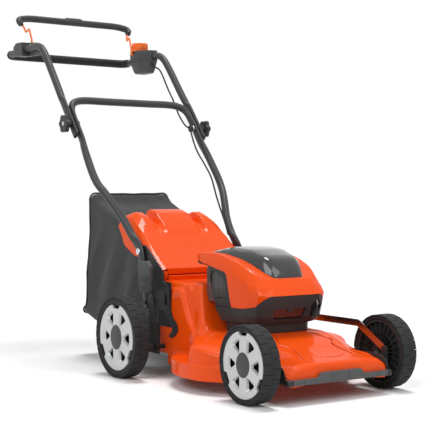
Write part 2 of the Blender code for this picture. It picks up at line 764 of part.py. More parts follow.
def build_wheel(label, side, axle, radius, cap_radius, track, parent):
    """Tyre, rim, hub cap and centre cap of one wheel; side is +1 on the left."""

    def along_axle(depth):
        """Place at a depth in from the wheel's outer face."""
        return side * (track - depth)

    flat = math.pi / TYRE_SIDES
    crown = radius / math.cos(flat)
    seat = (cap_radius + GAP) / math.cos(flat)
    phase = math.pi / 2 + flat
    bm = bmesh.new()
    profile = [(seat, along_axle(0.0045)), (crown - 0.007, along_axle(0.0)), (crown, along_axle(0.0055)),
               (crown, along_axle(WHEEL_WIDTH - 0.0055)), (crown - 0.007, along_axle(WHEEL_WIDTH)),
               (seat, along_axle(WHEEL_WIDTH - 0.0045))]
    lathe(bm, profile, "x", axle, TYRE_SIDES, phase)
    add_object("tyre_" + label, bm, MATERIALS["rubber"], parent, sharp=50.0)

    bore = STUB_RADIUS + RUN
    barrel = cap_radius - 0.004
    bm = bmesh.new()
    profile = [(bore, along_axle(0.010)), (HUB_RADIUS, along_axle(0.010)), (HUB_RADIUS, along_axle(0.020)),
               (barrel, along_axle(0.022)), (barrel, along_axle(0.0085)), (cap_radius, along_axle(0.0085)),
               (cap_radius, along_axle(WHEEL_WIDTH - 0.005)), (barrel, along_axle(WHEEL_WIDTH - 0.005)),
               (barrel, along_axle(0.026)), (HUB_RADIUS, along_axle(0.026)),
               (HUB_RADIUS, along_axle(WHEEL_WIDTH - 0.001)), (bore, along_axle(WHEEL_WIDTH - 0.001))]
    lathe(bm, profile, "x", axle, RIM_SIDES, phase)
    add_object("rim_" + label, bm, MATERIALS["dark_plastic"], parent)

    build_hub_cap(label, axle, cap_radius - GAP, along_axle, parent)

    bm = bmesh.new()
    boss = cap_radius * 0.33
    rings = []
    for share, depth in ((1.0, 0.0075), (1.0, 0.0030), (0.93, 0.0012), (0.70, 0.0005)):
        rings.append([(along_axle(depth), axle[0] + share * boss * math.cos(a),
                       axle[1] + share * boss * math.sin(a) * 1.12)
                      for a in [2 * math.pi * k / 18 for k in range(18)]])
    loft(bm, rings)
    add_object("centre_cap_" + label, bm, MATERIALS["grey_plastic"], parent)


def build_hub_cap(label, axle, radius, along_axle, parent):
    """Silver disc with three notches in its rim, and six spoked openings."""
    notch = radius * 0.86
    outline = []
    for third in range(3):
        middle = math.pi / 2 + third * 2 * math.pi / 3
        for offset, r in ((-0.19, notch + 0.004), (0.19, notch + 0.004), (0.30, radius)):
            outline.append((middle + offset, r))
        for k in range(1, 8):
            outline.append((middle + 0.30 + k * (2 * math.pi / 3 - 0.60) / 8, radius))
        outline.append((middle + 2 * math.pi / 3 - 0.30, radius))
    disc = [(axle[0] + r * math.cos(a), axle[1] + r * math.sin(a)) for a, r in outline]
    bm = bmesh.new()
    prism(bm, disc, "x", along_axle(0.0080), along_axle(0.0040))
    cap = add_object("hub_cap_" + label, bm, MATERIALS["silver"], parent)
    holes = bmesh.new()
    for k in range(6):
        middle = k * math.pi / 3
        near, far = radius * 0.43, radius * 0.76
        window = []
        for offset, r in ((-0.06, near), (0.06, near), (0.30, far * 0.97), (0.0, far), (-0.30, far * 0.97)):
            window.append((axle[0] + r * math.cos(middle + offset), axle[1] + r * math.sin(middle + offset)))
        prism(holes, window, "x", along_axle(0.0100), along_axle(0.0020))
    boolean(cap, cutter("hub_cap_windows_" + label, holes, parent))
    pocket = bmesh.new()
    boss = radius / (1 - GAP / radius) * 0.33
    socket = [(axle[0] + (boss + 2 * GAP) * math.cos(2 * math.pi * k / 18),
               axle[1] + (boss + 2 * GAP) * math.sin(2 * math.pi * k / 18) * 1.12) for k in range(18)]
    prism(pocket, socket, "x", along_axle(0.0085), along_axle(0.0020))
    boolean(cap, cutter("hub_cap_socket_" + label, pocket, parent))


def axle_path(axle, rod_at, inner_face, stub_end, least):
    """Half of a cranked axle, from the middle out to the end of its stub."""
    y, z = rod_at
    knee = inner_face - 0.008
    foot = max(knee - CRANK_RUN, least)
    return [(0.0, y, z), (foot, y, z), (knee, axle[0], axle[1]), (stub_end, axle[0], axle[1])]


def build_axle(name, axle, rod_at, inner_face, stub_end, least, empty):
    half = axle_path(axle, rod_at, inner_face, stub_end, least)
    right = [(-x, y, z) for x, y, z in reversed(half[1:])]
    path = rounded(right + half[1:], 0.012, 3)
    bm = bmesh.new()
    sweep(bm, path, (ROD_RADIUS, ROD_RADIUS), 12)
    obj = add_object(name, bm, MATERIALS["steel"], empty)

    pin = (rod_at[0] + LINK_PIN_BACK, rod_at[1] + LINK_PIN_UP)
    arm_outer = LINK_INNER - GAP
    bm = bmesh.new()
    prism(bm, strap_outline(rod_at, pin, 0.0085, 0.0075), "x", arm_outer - 0.004, arm_outer)
    boolean(obj, cutter(name + "_arm", bm, empty), "UNION")
    bm = bmesh.new()
    rod(bm, "x", pin, LINK_PIN_RADIUS, arm_outer - 0.003, LINK_INNER + LINK_THICK + 0.004, 12)
    boolean(obj, cutter(name + "_pin", bm, empty), "UNION")
    return obj


def strap_outline(first, second, first_radius, second_radius, steps=5):
    """Outline of a flat strap with round ends."""
    angle = math.atan2(second[1] - first[1], second[0] - first[0])
    points = []
    for i in range(steps + 1):
        a = angle - math.pi / 2 + math.pi * i / steps
        points.append((second[0] + second_radius * math.cos(a), second[1] + second_radius * math.sin(a)))
    for i in range(steps + 1):
        a = angle + math.pi / 2 + math.pi * i / steps
        points.append((first[0] + first_radius * math.cos(a), first[1] + first_radius * math.sin(a)))
    return points


def band_outline(path, width):
    """Outline of a strip of even width along a bent line in the plane."""
    left, right = [], []
    for i, point in enumerate(path):
        ahead = Vector(path[min(i + 1, len(path) - 1)])
        behind = Vector(path[max(i - 1, 0)])
        along_dir = (ahead - behind).normalized()
        normal = Vector((-along_dir.y, along_dir.x))
        left.append(tuple(Vector(point) + normal * width / 2))
        right.append(tuple(Vector(point) - normal * width / 2))
    return left + right[::-1]


def build_link(empty):
    front = (FRONT_ROD[0] + LINK_PIN_BACK, FRONT_ROD[1] + LINK_PIN_UP)
    rear = (REAR_ROD[0] + LINK_PIN_BACK, REAR_ROD[1] + LINK_PIN_UP)
    bend = 0.0930
    tip = 0.008
    corners = [(front[0] - tip, front[1] - tip * 0.7, 0), (front[0] + bend, LINK_RUN_Z, 0),
               (rear[0] - 0.050, LINK_RUN_Z, 0), (rear[0] + tip, rear[1] - tip * 0.6, 0)]
    path = [(p.x, p.y) for p in rounded(corners, 0.012, 3)]
    bm = bmesh.new()
    prism(bm, band_outline(path, LINK_TALL), "x", LINK_INNER, LINK_INNER + LINK_THICK)
    link = add_object("height_link", bm, MATERIALS["grey_metal"], empty)
    for label, pin, radius in (("front", front, LINK_PIN_RADIUS + 0.0015), ("rear", rear,
                                                                            LINK_PIN_RADIUS + GAP)):
        bm = bmesh.new()
        rod(bm, "x", pin, radius, LINK_INNER - 0.002, LINK_INNER + LINK_THICK + 0.002, 12)
        boolean(link, cutter("link_hole_" + label, bm, empty))


def build_lever(empty):
    """Height lever on the right end of the rear axle, with its ribbed grip."""
    outer = -(LEVER_INNER + LEVER_THICK)
    top = (0.474, 0.268)
    bm = bmesh.new()
    neck = (0.452, 0.195)
    prism(bm, strap_outline(REAR_ROD, neck, 0.012, 0.009), "x", outer, -LEVER_INNER)
    lever = add_object("height_lever", bm, MATERIALS["dark_plastic"], empty)
    bm = bmesh.new()
    prism(bm, strap_outline(neck, top, 0.006, 0.006), "x", outer, -LEVER_INNER)
    boolean(lever, cutter("lever_tongue", bm, empty), "UNION")
    bm = bmesh.new()
    rod(bm, "x", REAR_ROD, ROD_RADIUS + GAP, outer - 0.01, -LEVER_INNER + 0.01)
    boolean(lever, cutter("lever_hole", bm, empty))

    bm = bmesh.new()
    outline = [(0.4480, 0.2075), (0.4915, 0.2050), (0.5060, 0.2715), (0.4965, 0.2840), (0.4600, 0.2860),
               (0.4460, 0.2720)]
    prism(bm, outline, "x", outer - 0.006, -LEVER_INNER + 0.002)
    grip = add_object("height_grip", bm, MATERIALS["grey_plastic"], empty)
    bevel(grip, 0.003, 2)
    bm = bmesh.new()
    prism(bm, strap_outline(neck, top, 0.006 + GAP, 0.006 + GAP), "x", outer - GAP, -LEVER_INNER + GAP)
    boolean(grip, cutter("grip_slot", bm, empty))
    bm = bmesh.new()
    for i in range(5):
        z = 0.2120 + i * 0.0075
        box(bm, (outer - 0.008, 0.44, z), (outer - 0.005, 0.51, z + 0.0030))
    boolean(grip, cutter("grip_ribs", bm, empty))


# Handle

BRACKET_INNER = HOUSE_HALF + GAP
LEG_INNER = BRACKET_INNER + BRACKET_THICK + GAP
LEG_X = LEG_INNER + LEG_FLAT / 2
UPPER_JOINT_X = LOWER_JOINT_X + JOINT_FLAT + GAP
JOINT_TALL = 0.0135     # half height of a flattened tube at the joint


def build_bracket(side, label, root):
    """Plate on the side of the rear housing that carries a leg of the handle."""
    bm = bmesh.new()
    outline = [(FOOT_BOLT_Y + 0.012, FOOT_BOLT_Z + 0.014), (FOOT_BOLT_Y - 0.014, FOOT_BOLT_Z + 0.016),
               (0.4364, 0.2624),
               (0.4320, 0.2369), (0.4022, 0.2203), (0.4008, 0.1724)]
    if side < 0:
        outline += [(0.3900, 0.1500), (0.3700, 0.1340), (0.3650, 0.1200), (0.3760, 0.1080), (0.3900, 0.1000),
                    (0.4030, 0.0995), (0.4030, 0.1075), (0.3920, 0.1130), (0.3880, 0.1210), (0.4080, 0.1450)]
    outline += [(0.4300, 0.1640), (STUD_Y + 0.006, STUD_Z - 0.012), (STUD_Y + 0.012, STUD_Z),
                (FOOT_BOLT_Y + 0.016, FOOT_BOLT_Z)]
    start = side * BRACKET_INNER
    prism(bm, outline, "x", start, start + side * BRACKET_THICK)
    bracket = add_object("handle_bracket_" + label, bm, MATERIALS["dark_metal"], root)
    stud = bmesh.new()
    face = side * (BRACKET_INNER + BRACKET_THICK)
    rod(stud, "x", (STUD_Y, STUD_Z), BOLT_RADIUS, face - side * 0.002,
        face + side * (LEG_FLAT + 2 * GAP + 0.001), 12)
    rod_head = bmesh.new()
    boolean(bracket, cutter("stud_" + label, stud, root), "UNION")
    rod(rod_head, "x", (STUD_Y, STUD_Z), 0.0065, face + side * (LEG_FLAT + 2 * GAP),
        face + side * (LEG_FLAT + 2 * GAP + 0.0035), 6)
    boolean(bracket, cutter("stud_head_" + label, rod_head, root), "UNION")
    hole = bmesh.new()
    rod(hole, "x", (FOOT_BOLT_Y, FOOT_BOLT_Z), BOLT_RADIUS + GAP, face - side * 0.01, face + side * 0.01, 12)
    boolean(bracket, cutter("bracket_hole_" + label, hole, root))
    slot = bmesh.new()
    prism(slot, strap_outline((0.418, 0.198), (0.4175, 0.182), 0.006, 0.006), "x", face - side * 0.01,
          face + side * 0.01)
    boolean(bracket, cutter("bracket_slot_" + label, slot, root))


def build_foot_bolt(side, label, root):
    """Bolt through a leg's foot and its bracket, with its head outside and a nut inside."""
    inner = side * (BRACKET_INNER - GAP)
    outer = side * (LEG_INNER + LEG_FLAT + GAP)
    r = BOLT_RADIUS
    profile = [(0.0, inner - side * 0.0035), (0.0075, inner - side * 0.0035), (0.0075, inner - side * GAP),
               (r, inner - side * GAP), (r, outer), (0.0085, outer), (0.0085, outer + side * 0.002),
               (0.0060, outer + side * 0.0035)]
    rings = [[(x, FOOT_BOLT_Y + rr * math.cos(2 * math.pi * k / 12),
               FOOT_BOLT_Z + rr * math.sin(2 * math.pi * k / 12))
              for k in range(12)] for rr, x in profile[1:]]
    bm = bmesh.new()
    loft(bm, rings)
    add_object("handle_bolt_" + label, bm, MATERIALS["steel"], root)


def lower_leg():
    """Middle line of the left leg from its foot up to the cross bar, with its oval sections."""
    r = TUBE_RADIUS
    flat = LEG_FLAT / 2
    joint = JOINT_FLAT / 2
    return [((LEG_X, STUD_Y - 0.004, STUD_Z - 0.014), (flat, 0.0105)), ((LEG_X, STUD_Y, STUD_Z),
                                                                        (flat, 0.0125)),
            ((LEG_X, FOOT_BOLT_Y - 0.010, FOOT_BOLT_Z - 0.034), (flat, 0.0135)),
            ((LEG_X, FOOT_BOLT_Y, FOOT_BOLT_Z), (flat, 0.0145)),
            ((LEG_X, FOOT_BOLT_Y + 0.017, FOOT_BOLT_Z + 0.021), (flat, 0.0145)),
            ((0.156, 0.566, 0.344), (r, r)), ((0.158, 0.580, 0.360), (r, r)), ((0.164, 0.604, 0.390), (r, r)),
            ((0.1755, 0.628, 0.422), (r, r)), ((0.188, 0.656, 0.456), (r, r)), ((0.1950, 0.675, 0.4745),
                                                                                (r, r)),
            ((0.1982, 0.692, 0.4942), (r, r)), ((0.1978, 0.728, 0.5402), (r, r)),
            ((0.1950, JOINT_Y - 0.050, JOINT_Z - 0.064), (joint + 0.002, JOINT_TALL - 0.001)),
            ((LOWER_JOINT_X, JOINT_Y - 0.036, JOINT_Z - 0.046), (joint, JOINT_TALL)),
            ((LOWER_JOINT_X, JOINT_Y, JOINT_Z), (joint, JOINT_TALL)),
            ((LOWER_JOINT_X - 0.001, JOINT_Y + 0.022, JOINT_Z + 0.029), (joint, JOINT_TALL - 0.001)),
            ((0.1870, CROSS_Y - 0.018, CROSS_Z - 0.0200), (r - 0.001, r)),
            ((0.1780, CROSS_Y - 0.010, CROSS_Z - 0.0095), (r, r)), ((0.1600, CROSS_Y - 0.004,
                                                                     CROSS_Z - 0.0025), (r, r)),
            ((0.1380, CROSS_Y - 0.0005, CROSS_Z), (r, r)), ((0.0700, CROSS_Y, CROSS_Z), (r, r))]


def build_lower_handle(root):
    half = lower_leg()
    path = [p for p, s in half] + [(0.0, CROSS_Y, CROSS_Z)]
    sections = [s for p, s in half] + [(TUBE_RADIUS, TUBE_RADIUS)]
    path = path + [(-x, y, z) for x, y, z in reversed(path[:-1])]
    sections = sections + list(reversed(sections[:-1]))
    bm = bmesh.new()
    hollow_sweep(bm, path, sections, TUBE_WALL, TUBE_SIDES)
    handle = add_object("lower_handle", bm, MATERIALS["dark_metal"], root, sharp=45.0)
    holes = [("foot_bolt", FOOT_BOLT_Y, FOOT_BOLT_Z), ("foot_stud", STUD_Y, STUD_Z), ("joint", JOINT_Y,
                                                                                      JOINT_Z)]
    for name, y, z in holes:
        bm = bmesh.new()
        rod(bm, "x", (y, z), BOLT_RADIUS + GAP, -0.23, 0.23, 12)
        boolean(handle, cutter("lower_hole_" + name, bm, root))


def upper_leg():
    """Middle line of the left side tube from its low end up to the push grip."""
    r = TUBE_RADIUS
    joint = JOINT_FLAT / 2
    slope = Vector((0.0, 0.6355, 0.7720))
    low = Vector((UPPER_JOINT_X, JOINT_Y, JOINT_Z))
    points = [(low - slope * 0.040, (joint, JOINT_TALL)), (low, (joint, JOINT_TALL)),
              (low + slope * 0.095, (joint, JOINT_TALL)), (Vector((0.2043, 0.8800, 0.7295)), (r - 0.001,
                                                                                              r + 0.001)),
              (Vector((0.2035, 0.8950, 0.7472)), (r, r)), (Vector((0.2025, 0.9600, 0.8262)), (r, r)),
              (Vector((0.2020, 0.9740, 0.8425)), (r, r)), (Vector((0.2018, 0.9900, 0.8590)), (r, r)),
              (Vector((0.2016, 1.0080, 0.8715)), (r, r)), (Vector((0.2015, 1.0320, 0.8782)), (r, r)),
              (Vector((0.2015, 1.0600, 0.8790)), (r, r)), (Vector((0.2015, 1.1500, 0.8752)), (r, r)),
              (Vector((0.2025, 1.1980, 0.8724)), (r, r)), (Vector((0.2015, GRIP_Y - 0.0210, 0.8716)), (r, r)),
              (Vector((0.1960, GRIP_Y - 0.0080, 0.8710)), (r, r)), (Vector((0.1860, GRIP_Y - 0.0012, GRIP_Z)),
                                                                    (r, r)),
              (Vector((0.1720, GRIP_Y, GRIP_Z)), (r, r)), (Vector((0.0600, GRIP_Y, GRIP_Z)), (r, r))]
    return points


def build_upper_handle(empty):
    half = upper_leg()
    path = [p for p, s in half]
    sections = [s for p, s in half]
    path = path + [Vector((-p.x, p.y, p.z)) for p in reversed(path)]
    sections = sections + list(reversed(sections))
    bm = bmesh.new()
    hollow_sweep(bm, path, sections, TUBE_WALL, TUBE_SIDES)
    handle = add_object("upper_handle", bm, MATERIALS["dark_metal"], empty, sharp=45.0)
    bm = bmesh.new()
    rod(bm, "x", (JOINT_Y, JOINT_Z), BOLT_RADIUS + GAP, -0.24, 0.24, 12)
    boolean(handle, cutter("upper_joint_hole", bm, empty))

    bm = bmesh.new()
    covered = [p for p, s in half if p.y > GRIP_Y - GRIP_BACK]
    covered = covered + [Vector((-p.x, p.y, p.z)) for p in reversed(covered)]
    bore = TUBE_RADIUS + 2 * GAP
    hollow_sweep(bm, covered, [(SLEEVE_RADIUS, SLEEVE_RADIUS)] * len(covered), SLEEVE_RADIUS - bore, 14)
    add_object("push_grip", bm, MATERIALS["soft_grip"], empty)


def build_joint(side, label, root, knob_empty):
    """Bolt through both handles, and the star knob on its outer end."""
    inner = side * (LOWER_JOINT_X - JOINT_FLAT / 2 - GAP)
    outer = side * (UPPER_JOINT_X + JOINT_FLAT / 2)
    r = BOLT_RADIUS
    knob_face = outer + side * 0.0015
    end = knob_face + side * 0.010
    profile = [(0.0065, inner - side * 0.0030), (0.0090, inner - side * 0.0015), (0.0090, inner), (r, inner),
               (r, end)]
    rings = [[(x, JOINT_Y + rr * math.cos(2 * math.pi * k / 12),
               JOINT_Z + rr * math.sin(2 * math.pi * k / 12))
              for k in range(12)] for rr, x in profile]
    bm = bmesh.new()
    loft(bm, rings)
    add_object("knob_bolt_" + label, bm, MATERIALS["steel"], root)

    bm = bmesh.new()
    lobes = 6
    steps = 24

    def star(share, x):
        ring = []
        for k in range(steps):
            a = 2 * math.pi * k / steps
            rr = KNOB_RADIUS * share * (0.90 + 0.10 * math.cos(lobes * a))
            ring.append((x, JOINT_Y + rr * math.cos(a), JOINT_Z + rr * math.sin(a)))
        return ring

    face = outer + side * GAP
    disc = KNOB_THICK - 0.0115
    levels = ((0.45, 0.0), (0.48, disc - 0.002), (0.97, disc), (1.0, disc + 0.002), (1.0, KNOB_THICK - 0.002),
              (0.93, KNOB_THICK))
    rings = [star(share, face + side * depth) for share, depth in levels]
    loft(bm, rings)
    knob = add_object("star_knob_" + label, bm, MATERIALS["dark_plastic"], knob_empty)
    bm = bmesh.new()
    rod(bm, "x", (JOINT_Y, JOINT_Z), BOLT_RADIUS + RUN, face - side * 0.01, end + side * GAP, 12)
    boolean(knob, cutter("knob_bore_" + label, bm, knob_empty))


HOUSING_LOW = (0.1745, 1.048, 0.8290)
HOUSING_HIGH = (0.2245, 1.160, 0.9030)
HOUSING_SLOPE = 0.006   # how far the top falls towards its front
BUTTON_MIDDLE = (0.1990, 1.1330)
CLAMP_INNER = 0.1795    # inner face of the bail's bracket on the right tube


def build_controls(empty, button_empty):
    """Control housing on the left tube, the start button in it, and the bail bracket on the right tube."""
    x0, y0, z0 = HOUSING_LOW
    x1, y1, z1 = HOUSING_HIGH
    plan = [(x0 + 0.0135, y0), (x1 - 0.0125, y0), (x1, y0 + 0.027), (x1, y1 - 0.006), (x1 - 0.006, y1),
            (x0 + 0.004, y1), (x0, y1 - 0.010), (x0, y0 + 0.046)]
    middle = ((x0 + x1) / 2, (y0 + y1) / 2 - 0.008)
    rings = []
    for z, across, back in ((z0, 0.74, 0.62), (z0 + 0.007, 0.84, 0.72), (z1 - 0.036, 1.0, 1.0), (z1, 1.0,
                                                                                                 1.0)):
        rings.append([(middle[0] + (x - middle[0]) * across, middle[1] + (y - middle[1]) * back, z) for x,
                      y in plan])
    rings[-1] = [(x, y, z - HOUSING_SLOPE * (y1 - y) / (y1 - y0)) for x, y, z in rings[-1]]
    bm = bmesh.new()
    loft(bm, rings)
    housing = add_object("control_housing", bm, MATERIALS["grey_plastic"], empty)
    bevel(housing, 0.003, 2, 50.0)
    leg = [(p, s) for p, s in upper_leg() if p.y > 0.98 and p.y < 1.20]
    bm = bmesh.new()
    sweep(bm, [p for p, s in leg], (TUBE_RADIUS + GAP, TUBE_RADIUS + GAP), TUBE_SIDES)
    boolean(housing, cutter("housing_bore", bm, empty))
    bm = bmesh.new()
    rod(bm, "z", BUTTON_MIDDLE, BUTTON_RADIUS + RUN, z1 - BUTTON_SEAT, z1 + 0.02, 24)
    boolean(housing, cutter("button_well", bm, empty))

    bm = bmesh.new()
    low = z1 - BUTTON_SEAT + BUTTON_TRAVEL + GAP
    top = z1 + BUTTON_TALL
    levels = ((BUTTON_RADIUS, low), (BUTTON_RADIUS, top - 0.005), (BUTTON_RADIUS - 0.0015, top - 0.0015),
              (BUTTON_RADIUS - 0.006, top))
    loft(bm, [circle_ring(BUTTON_MIDDLE, radius, z, 24) for radius, z in levels])
    add_object("start_button", bm, MATERIALS["orange"], button_empty)

    bm = bmesh.new()
    outline = [(1.040, 0.862), (1.046, 0.883), (1.066, 0.893), (1.125, 0.8985), (1.150, 0.8985),
               (1.166, 0.890),
               (1.170, 0.868), (1.158, 0.859), (1.060, 0.855)]
    prism(bm, outline, "x", -CLAMP_INNER - 0.038, -CLAMP_INNER)
    bracket = add_object("bail_bracket_right", bm, MATERIALS["grey_plastic"], empty)
    bevel(bracket, 0.004, 2)
    bm = bmesh.new()
    sweep(bm, [Vector((-p.x, p.y, p.z)) for p, s in leg], (TUBE_RADIUS + GAP, TUBE_RADIUS + GAP), TUBE_SIDES)
    boolean(bracket, cutter("bail_bracket_bore", bm, empty))
    for side, target, inner in ((1, housing, x0), (-1, bracket, CLAMP_INNER)):
        bm = bmesh.new()
        face = side * inner
        rod(bm, "x", (BAIL_Y, BAIL_Z), BAIL_WIRE + RUN, face - side * 0.01, face + side * 0.010, 12)
        boolean(target, cutter("bail_pivot_hole_%+d" % side, bm, empty))


def build_bail(empty):
    """Dark bail bar, and the orange wire at each end that turns in the housings."""
    r = BAIL_RADIUS
    half = [(0.1835, 1.1820, 0.9625), (0.1875, 1.1865, 0.9710), (0.1855, 1.1935, 0.9785), (0.1770, 1.1975,
                                                                                           0.9820),
            (0.1620, 1.1995, 0.9832), (0.0700, 1.2000, 0.9832)]
    path = [Vector(p) for p in half] + [Vector((0.0, 1.2000, 0.9832))]
    path = path + [Vector((-p.x, p.y, p.z)) for p in reversed(path[:-1])]
    bm = bmesh.new()
    sections = [(r * 0.9, r * 1.1)] * len(path)
    sweep(bm, path, sections, 12)
    bail = add_object("bail_bar", bm, MATERIALS["dark_plastic"], empty)
    for side, label in ((1, "left"), (-1, "right")):
        end_x = (HOUSING_LOW[0] if side > 0 else CLAMP_INNER) + 0.0065
        points = [(end_x, BAIL_Y, BAIL_Z), (BAIL_WIRE_X, BAIL_Y, BAIL_Z), (BAIL_WIRE_X, 1.1380, 0.9136),
                  (BAIL_WIRE_X + 0.001, 1.1530, 0.9440), (BAIL_WIRE_X + 0.003, 1.1705, 0.9370),
                  (0.1768, 1.1775, 0.9520), (0.1848, 1.1852, 0.9672)]
        path = rounded([(side * x, y, z) for x, y, z in points], 0.004, 2)
        bm = bmesh.new()
        sweep(bm, path, (BAIL_WIRE, BAIL_WIRE), 8)
        add_object("bail_wire_" + label, bm, MATERIALS["orange_wire"], empty)
        socket = bmesh.new()
        end = Vector((side * points[-1][0], *points[-1][1:]))
        before = Vector((side * points[-2][0], *points[-2][1:]))
        ahead = (end - before).normalized()
        sweep(socket, [end - ahead * 0.012, end + ahead * GAP], (BAIL_WIRE + GAP, BAIL_WIRE + GAP), 12)
        boolean(bail, cutter("bail_socket_" + label, socket, empty))


# Rear flap and grass bag

def flap_top(y):
    """Height of the flap's valleys along the mower."""
    return along([(HINGE_Y - 0.006, 0.2650), (0.480, 0.2840), (0.510, 0.3060), (0.535, 0.3260),
                  (0.560, 0.3470),
                  (0.590, 0.3640), (0.620, 0.3760), (0.645, 0.3840), (0.672, 0.3880)], y)


def flap_section(y):
    """Half section of the flap's outside from the skirt's edge to the middle ridge."""
    base = flap_top(y)
    side = 0.020 * smooth((y - 0.560) / 0.045) * (1 - 0.45 * smooth((y - 0.64) / 0.03))
    middle = 0.024 * smooth((y - 0.545) / 0.09) * (1 - 0.35 * smooth((y - 0.655) / 0.02))
    skirt = along([(0.470, base - 0.006), (0.505, 0.278), (0.540, 0.286), (0.590, 0.2930), (0.642, 0.3180),
                   (0.656, 0.345),
                   (0.672, 0.365)], y)
    fall = 0.006 + 0.012 * smooth((y - 0.50) / 0.1)
    return [(FLAP_HALF, min(skirt, base - 0.004)), (FLAP_HALF, base - fall), (FLAP_HALF - 0.006,
                                                                              base - fall * 0.45),
            (0.124, base + side * 0.35), (0.101, base + side), (0.080, base + side * 0.92),
            (0.070, base + side * 0.08),
            (0.058, base + middle * 0.05), (0.046, base + middle * 0.92), (0.0, base + middle)]


def build_flap(flap_empty, root):
    stations = [HINGE_Y - 0.006, 0.466, 0.482, 0.505, 0.535, 0.552, 0.575, 0.600, 0.625, 0.645, 0.660, 0.672]
    bm = bmesh.new()
    rows = [[bm.verts.new((x, y, z)) for x, z in mirrored(flap_section(y))] for y in stations]
    for first, second in zip(rows, rows[1:]):
        bridge(bm, first, second, closed=False)
    flap = add_object("rear_flap", bm, MATERIALS["orange"], flap_empty)
    solidify(flap, FLAP_WALL)
    bm = bmesh.new()
    r = KNUCKLE_RADIUS
    outline = [(HINGE_Y - r, HINGE_Z), (HINGE_Y - 0.0039, HINGE_Z - 0.0039), (HINGE_Y, HINGE_Z - r),
               (HINGE_Y + 0.0039, HINGE_Z - 0.0039), (HINGE_Y + r, HINGE_Z), (HINGE_Y + r, HINGE_Z + 0.0120),
               (HINGE_Y - r, HINGE_Z + 0.0098)]
    prism(bm, outline, "x", -KNUCKLE_HALF, KNUCKLE_HALF)
    boolean(flap, cutter("flap_knuckle", bm, flap_empty), "UNION")
    bm = bmesh.new()
    rod(bm, "x", (HINGE_Y, HINGE_Z), HINGE_RADIUS + RUN, -KNUCKLE_HALF - 0.01, KNUCKLE_HALF + 0.01, 12)
    boolean(flap, cutter("flap_bore", bm, flap_empty))
    bm = bmesh.new()
    rod(bm, "x", (HINGE_Y, HINGE_Z), HINGE_RADIUS, -KNUCKLE_HALF - EAR_WIDE - 0.002,
        KNUCKLE_HALF + EAR_WIDE + 0.002, 12)
    add_object("flap_hinge_rod", bm, MATERIALS["steel"], root)


BAG_FRONT = HOUSE_REAR + GAP


def bag_section(y, low, high, half, corner):
    """Rounded rectangle of the bag across the mower."""
    points = []
    for cx, cz, start in ((half - corner, high - corner, 0.0), (-half + corner, high - corner, 90.0),
                          (-half + corner, low + corner, 180.0), (half - corner, low + corner, 270.0)):
        for k in range(4):
            a = math.radians(start + 30.0 * k)
            points.append((cx + corner * math.cos(a), y, cz + corner * math.sin(a)))
    return points


def build_bag(empty):
    low, high = 0.0945, 0.2290
    back = BAG_FRONT + BAG_FRAME_DEEP
    half = HOUSE_HALF - 0.0008
    width = BAG_FRAME_WIDE
    outer = bag_section(BAG_FRONT, low - 0.002, high + 0.002, half, 0.006)
    inner = bag_section(BAG_FRONT, low + width, high - width, half - width - 0.014, 0.006)
    bm = bmesh.new()
    rows = []
    for ring, y in ((outer, BAG_FRONT), (outer, back), (inner, back), (inner, BAG_FRONT)):
        rows.append([bm.verts.new((x, y, z)) for x, _, z in ring])
    for first, second in zip(rows, rows[1:] + rows[:1]):
        bridge(bm, first, second)
    add_object("bag_frame", bm, MATERIALS["dark_plastic"], empty)

    start = back + GAP
    sections = [(start, low, high, BAG_HALF, 0.012), (0.500, 0.092, 0.262, BAG_HALF, 0.014),
                (0.560, 0.090, 0.320, BAG_HALF, 0.016), (0.620, 0.0885, 0.352, BAG_HALF, 0.018),
                (0.680, 0.0880, 0.374, BAG_HALF, 0.018), (0.750, 0.0900, 0.404, BAG_HALF, 0.018),
                (0.815, 0.0935, 0.430, BAG_HALF, 0.018)]
    bm = bmesh.new()
    rings = [bag_section(*s) for s in sections]
    rear = bag_section(0.870, 0.100, BAG_TOP, BAG_HALF, 0.018)
    lean = 0.018
    rings.append([(x, y + 0.030 * (0.150 - z) / 0.05 if z < 0.15 else y - lean * smooth((z - 0.2) / 0.22),
                   z + (0.016 if z < 0.13 else 0.0)) for x, y, z in rear])
    tail = bag_section(BAG_REAR, 0.112, BAG_TOP - 0.010, BAG_HALF - 0.010, 0.014)
    swell = 0.012
    for_tail = []
    for x, y, z in tail:
        inward = swell * math.sin(math.pi * min(max((z - 0.14) / 0.29, 0.0), 1.0))
        shift = 0.016 if z < 0.14 else -inward - lean * smooth((z - 0.2) / 0.22)
        for_tail.append((x, y + shift, z + 0.004))
    rings.append(for_tail)
    rows = [[bm.verts.new(p) for p in ring] for ring in rings]
    for first, second in zip(rows, rows[1:]):
        bridge(bm, first, second)
    bm.faces.new(rows[-1])
    bag = add_object("bag_fabric", bm, MATERIALS["fabric"], empty)
    solidify(bag, BAG_WALL)


# Control cable, in two lengths that meet at the clip on the handle joint

def smooth_route(points, count):
    """Evenly read points of a smooth curve through the given ones."""
    knots = [Vector(p) for p in points]
    knots = [knots[0] * 2 - knots[1]] + knots + [knots[-1] * 2 - knots[-2]]
    dense = []
    for a, b, c, d in zip(knots, knots[1:], knots[2:], knots[3:]):
        for i in range(12):
            t = i / 12
            dense.append(0.5 * ((2 * b) + (c - a) * t + (2 * a - 5 * b + 4 * c - d) * t * t
                                + (3 * b - 3 * c + d - a) * t ** 3))
    dense.append(knots[-2])
    lengths = [0.0]
    for p, q in zip(dense, dense[1:]):
        lengths.append(lengths[-1] + (q - p).length)
    picked = []
    for i in range(count):
        want = lengths[-1] * i / (count - 1)
        j = max(k for k, value in enumerate(lengths) if value <= want + 1e-9)
        j = min(j, len(dense) - 2)
        span = lengths[j + 1] - lengths[j]
        picked.append(dense[j].lerp(dense[j + 1], (want - lengths[j]) / span if span else 0.0))
    return picked


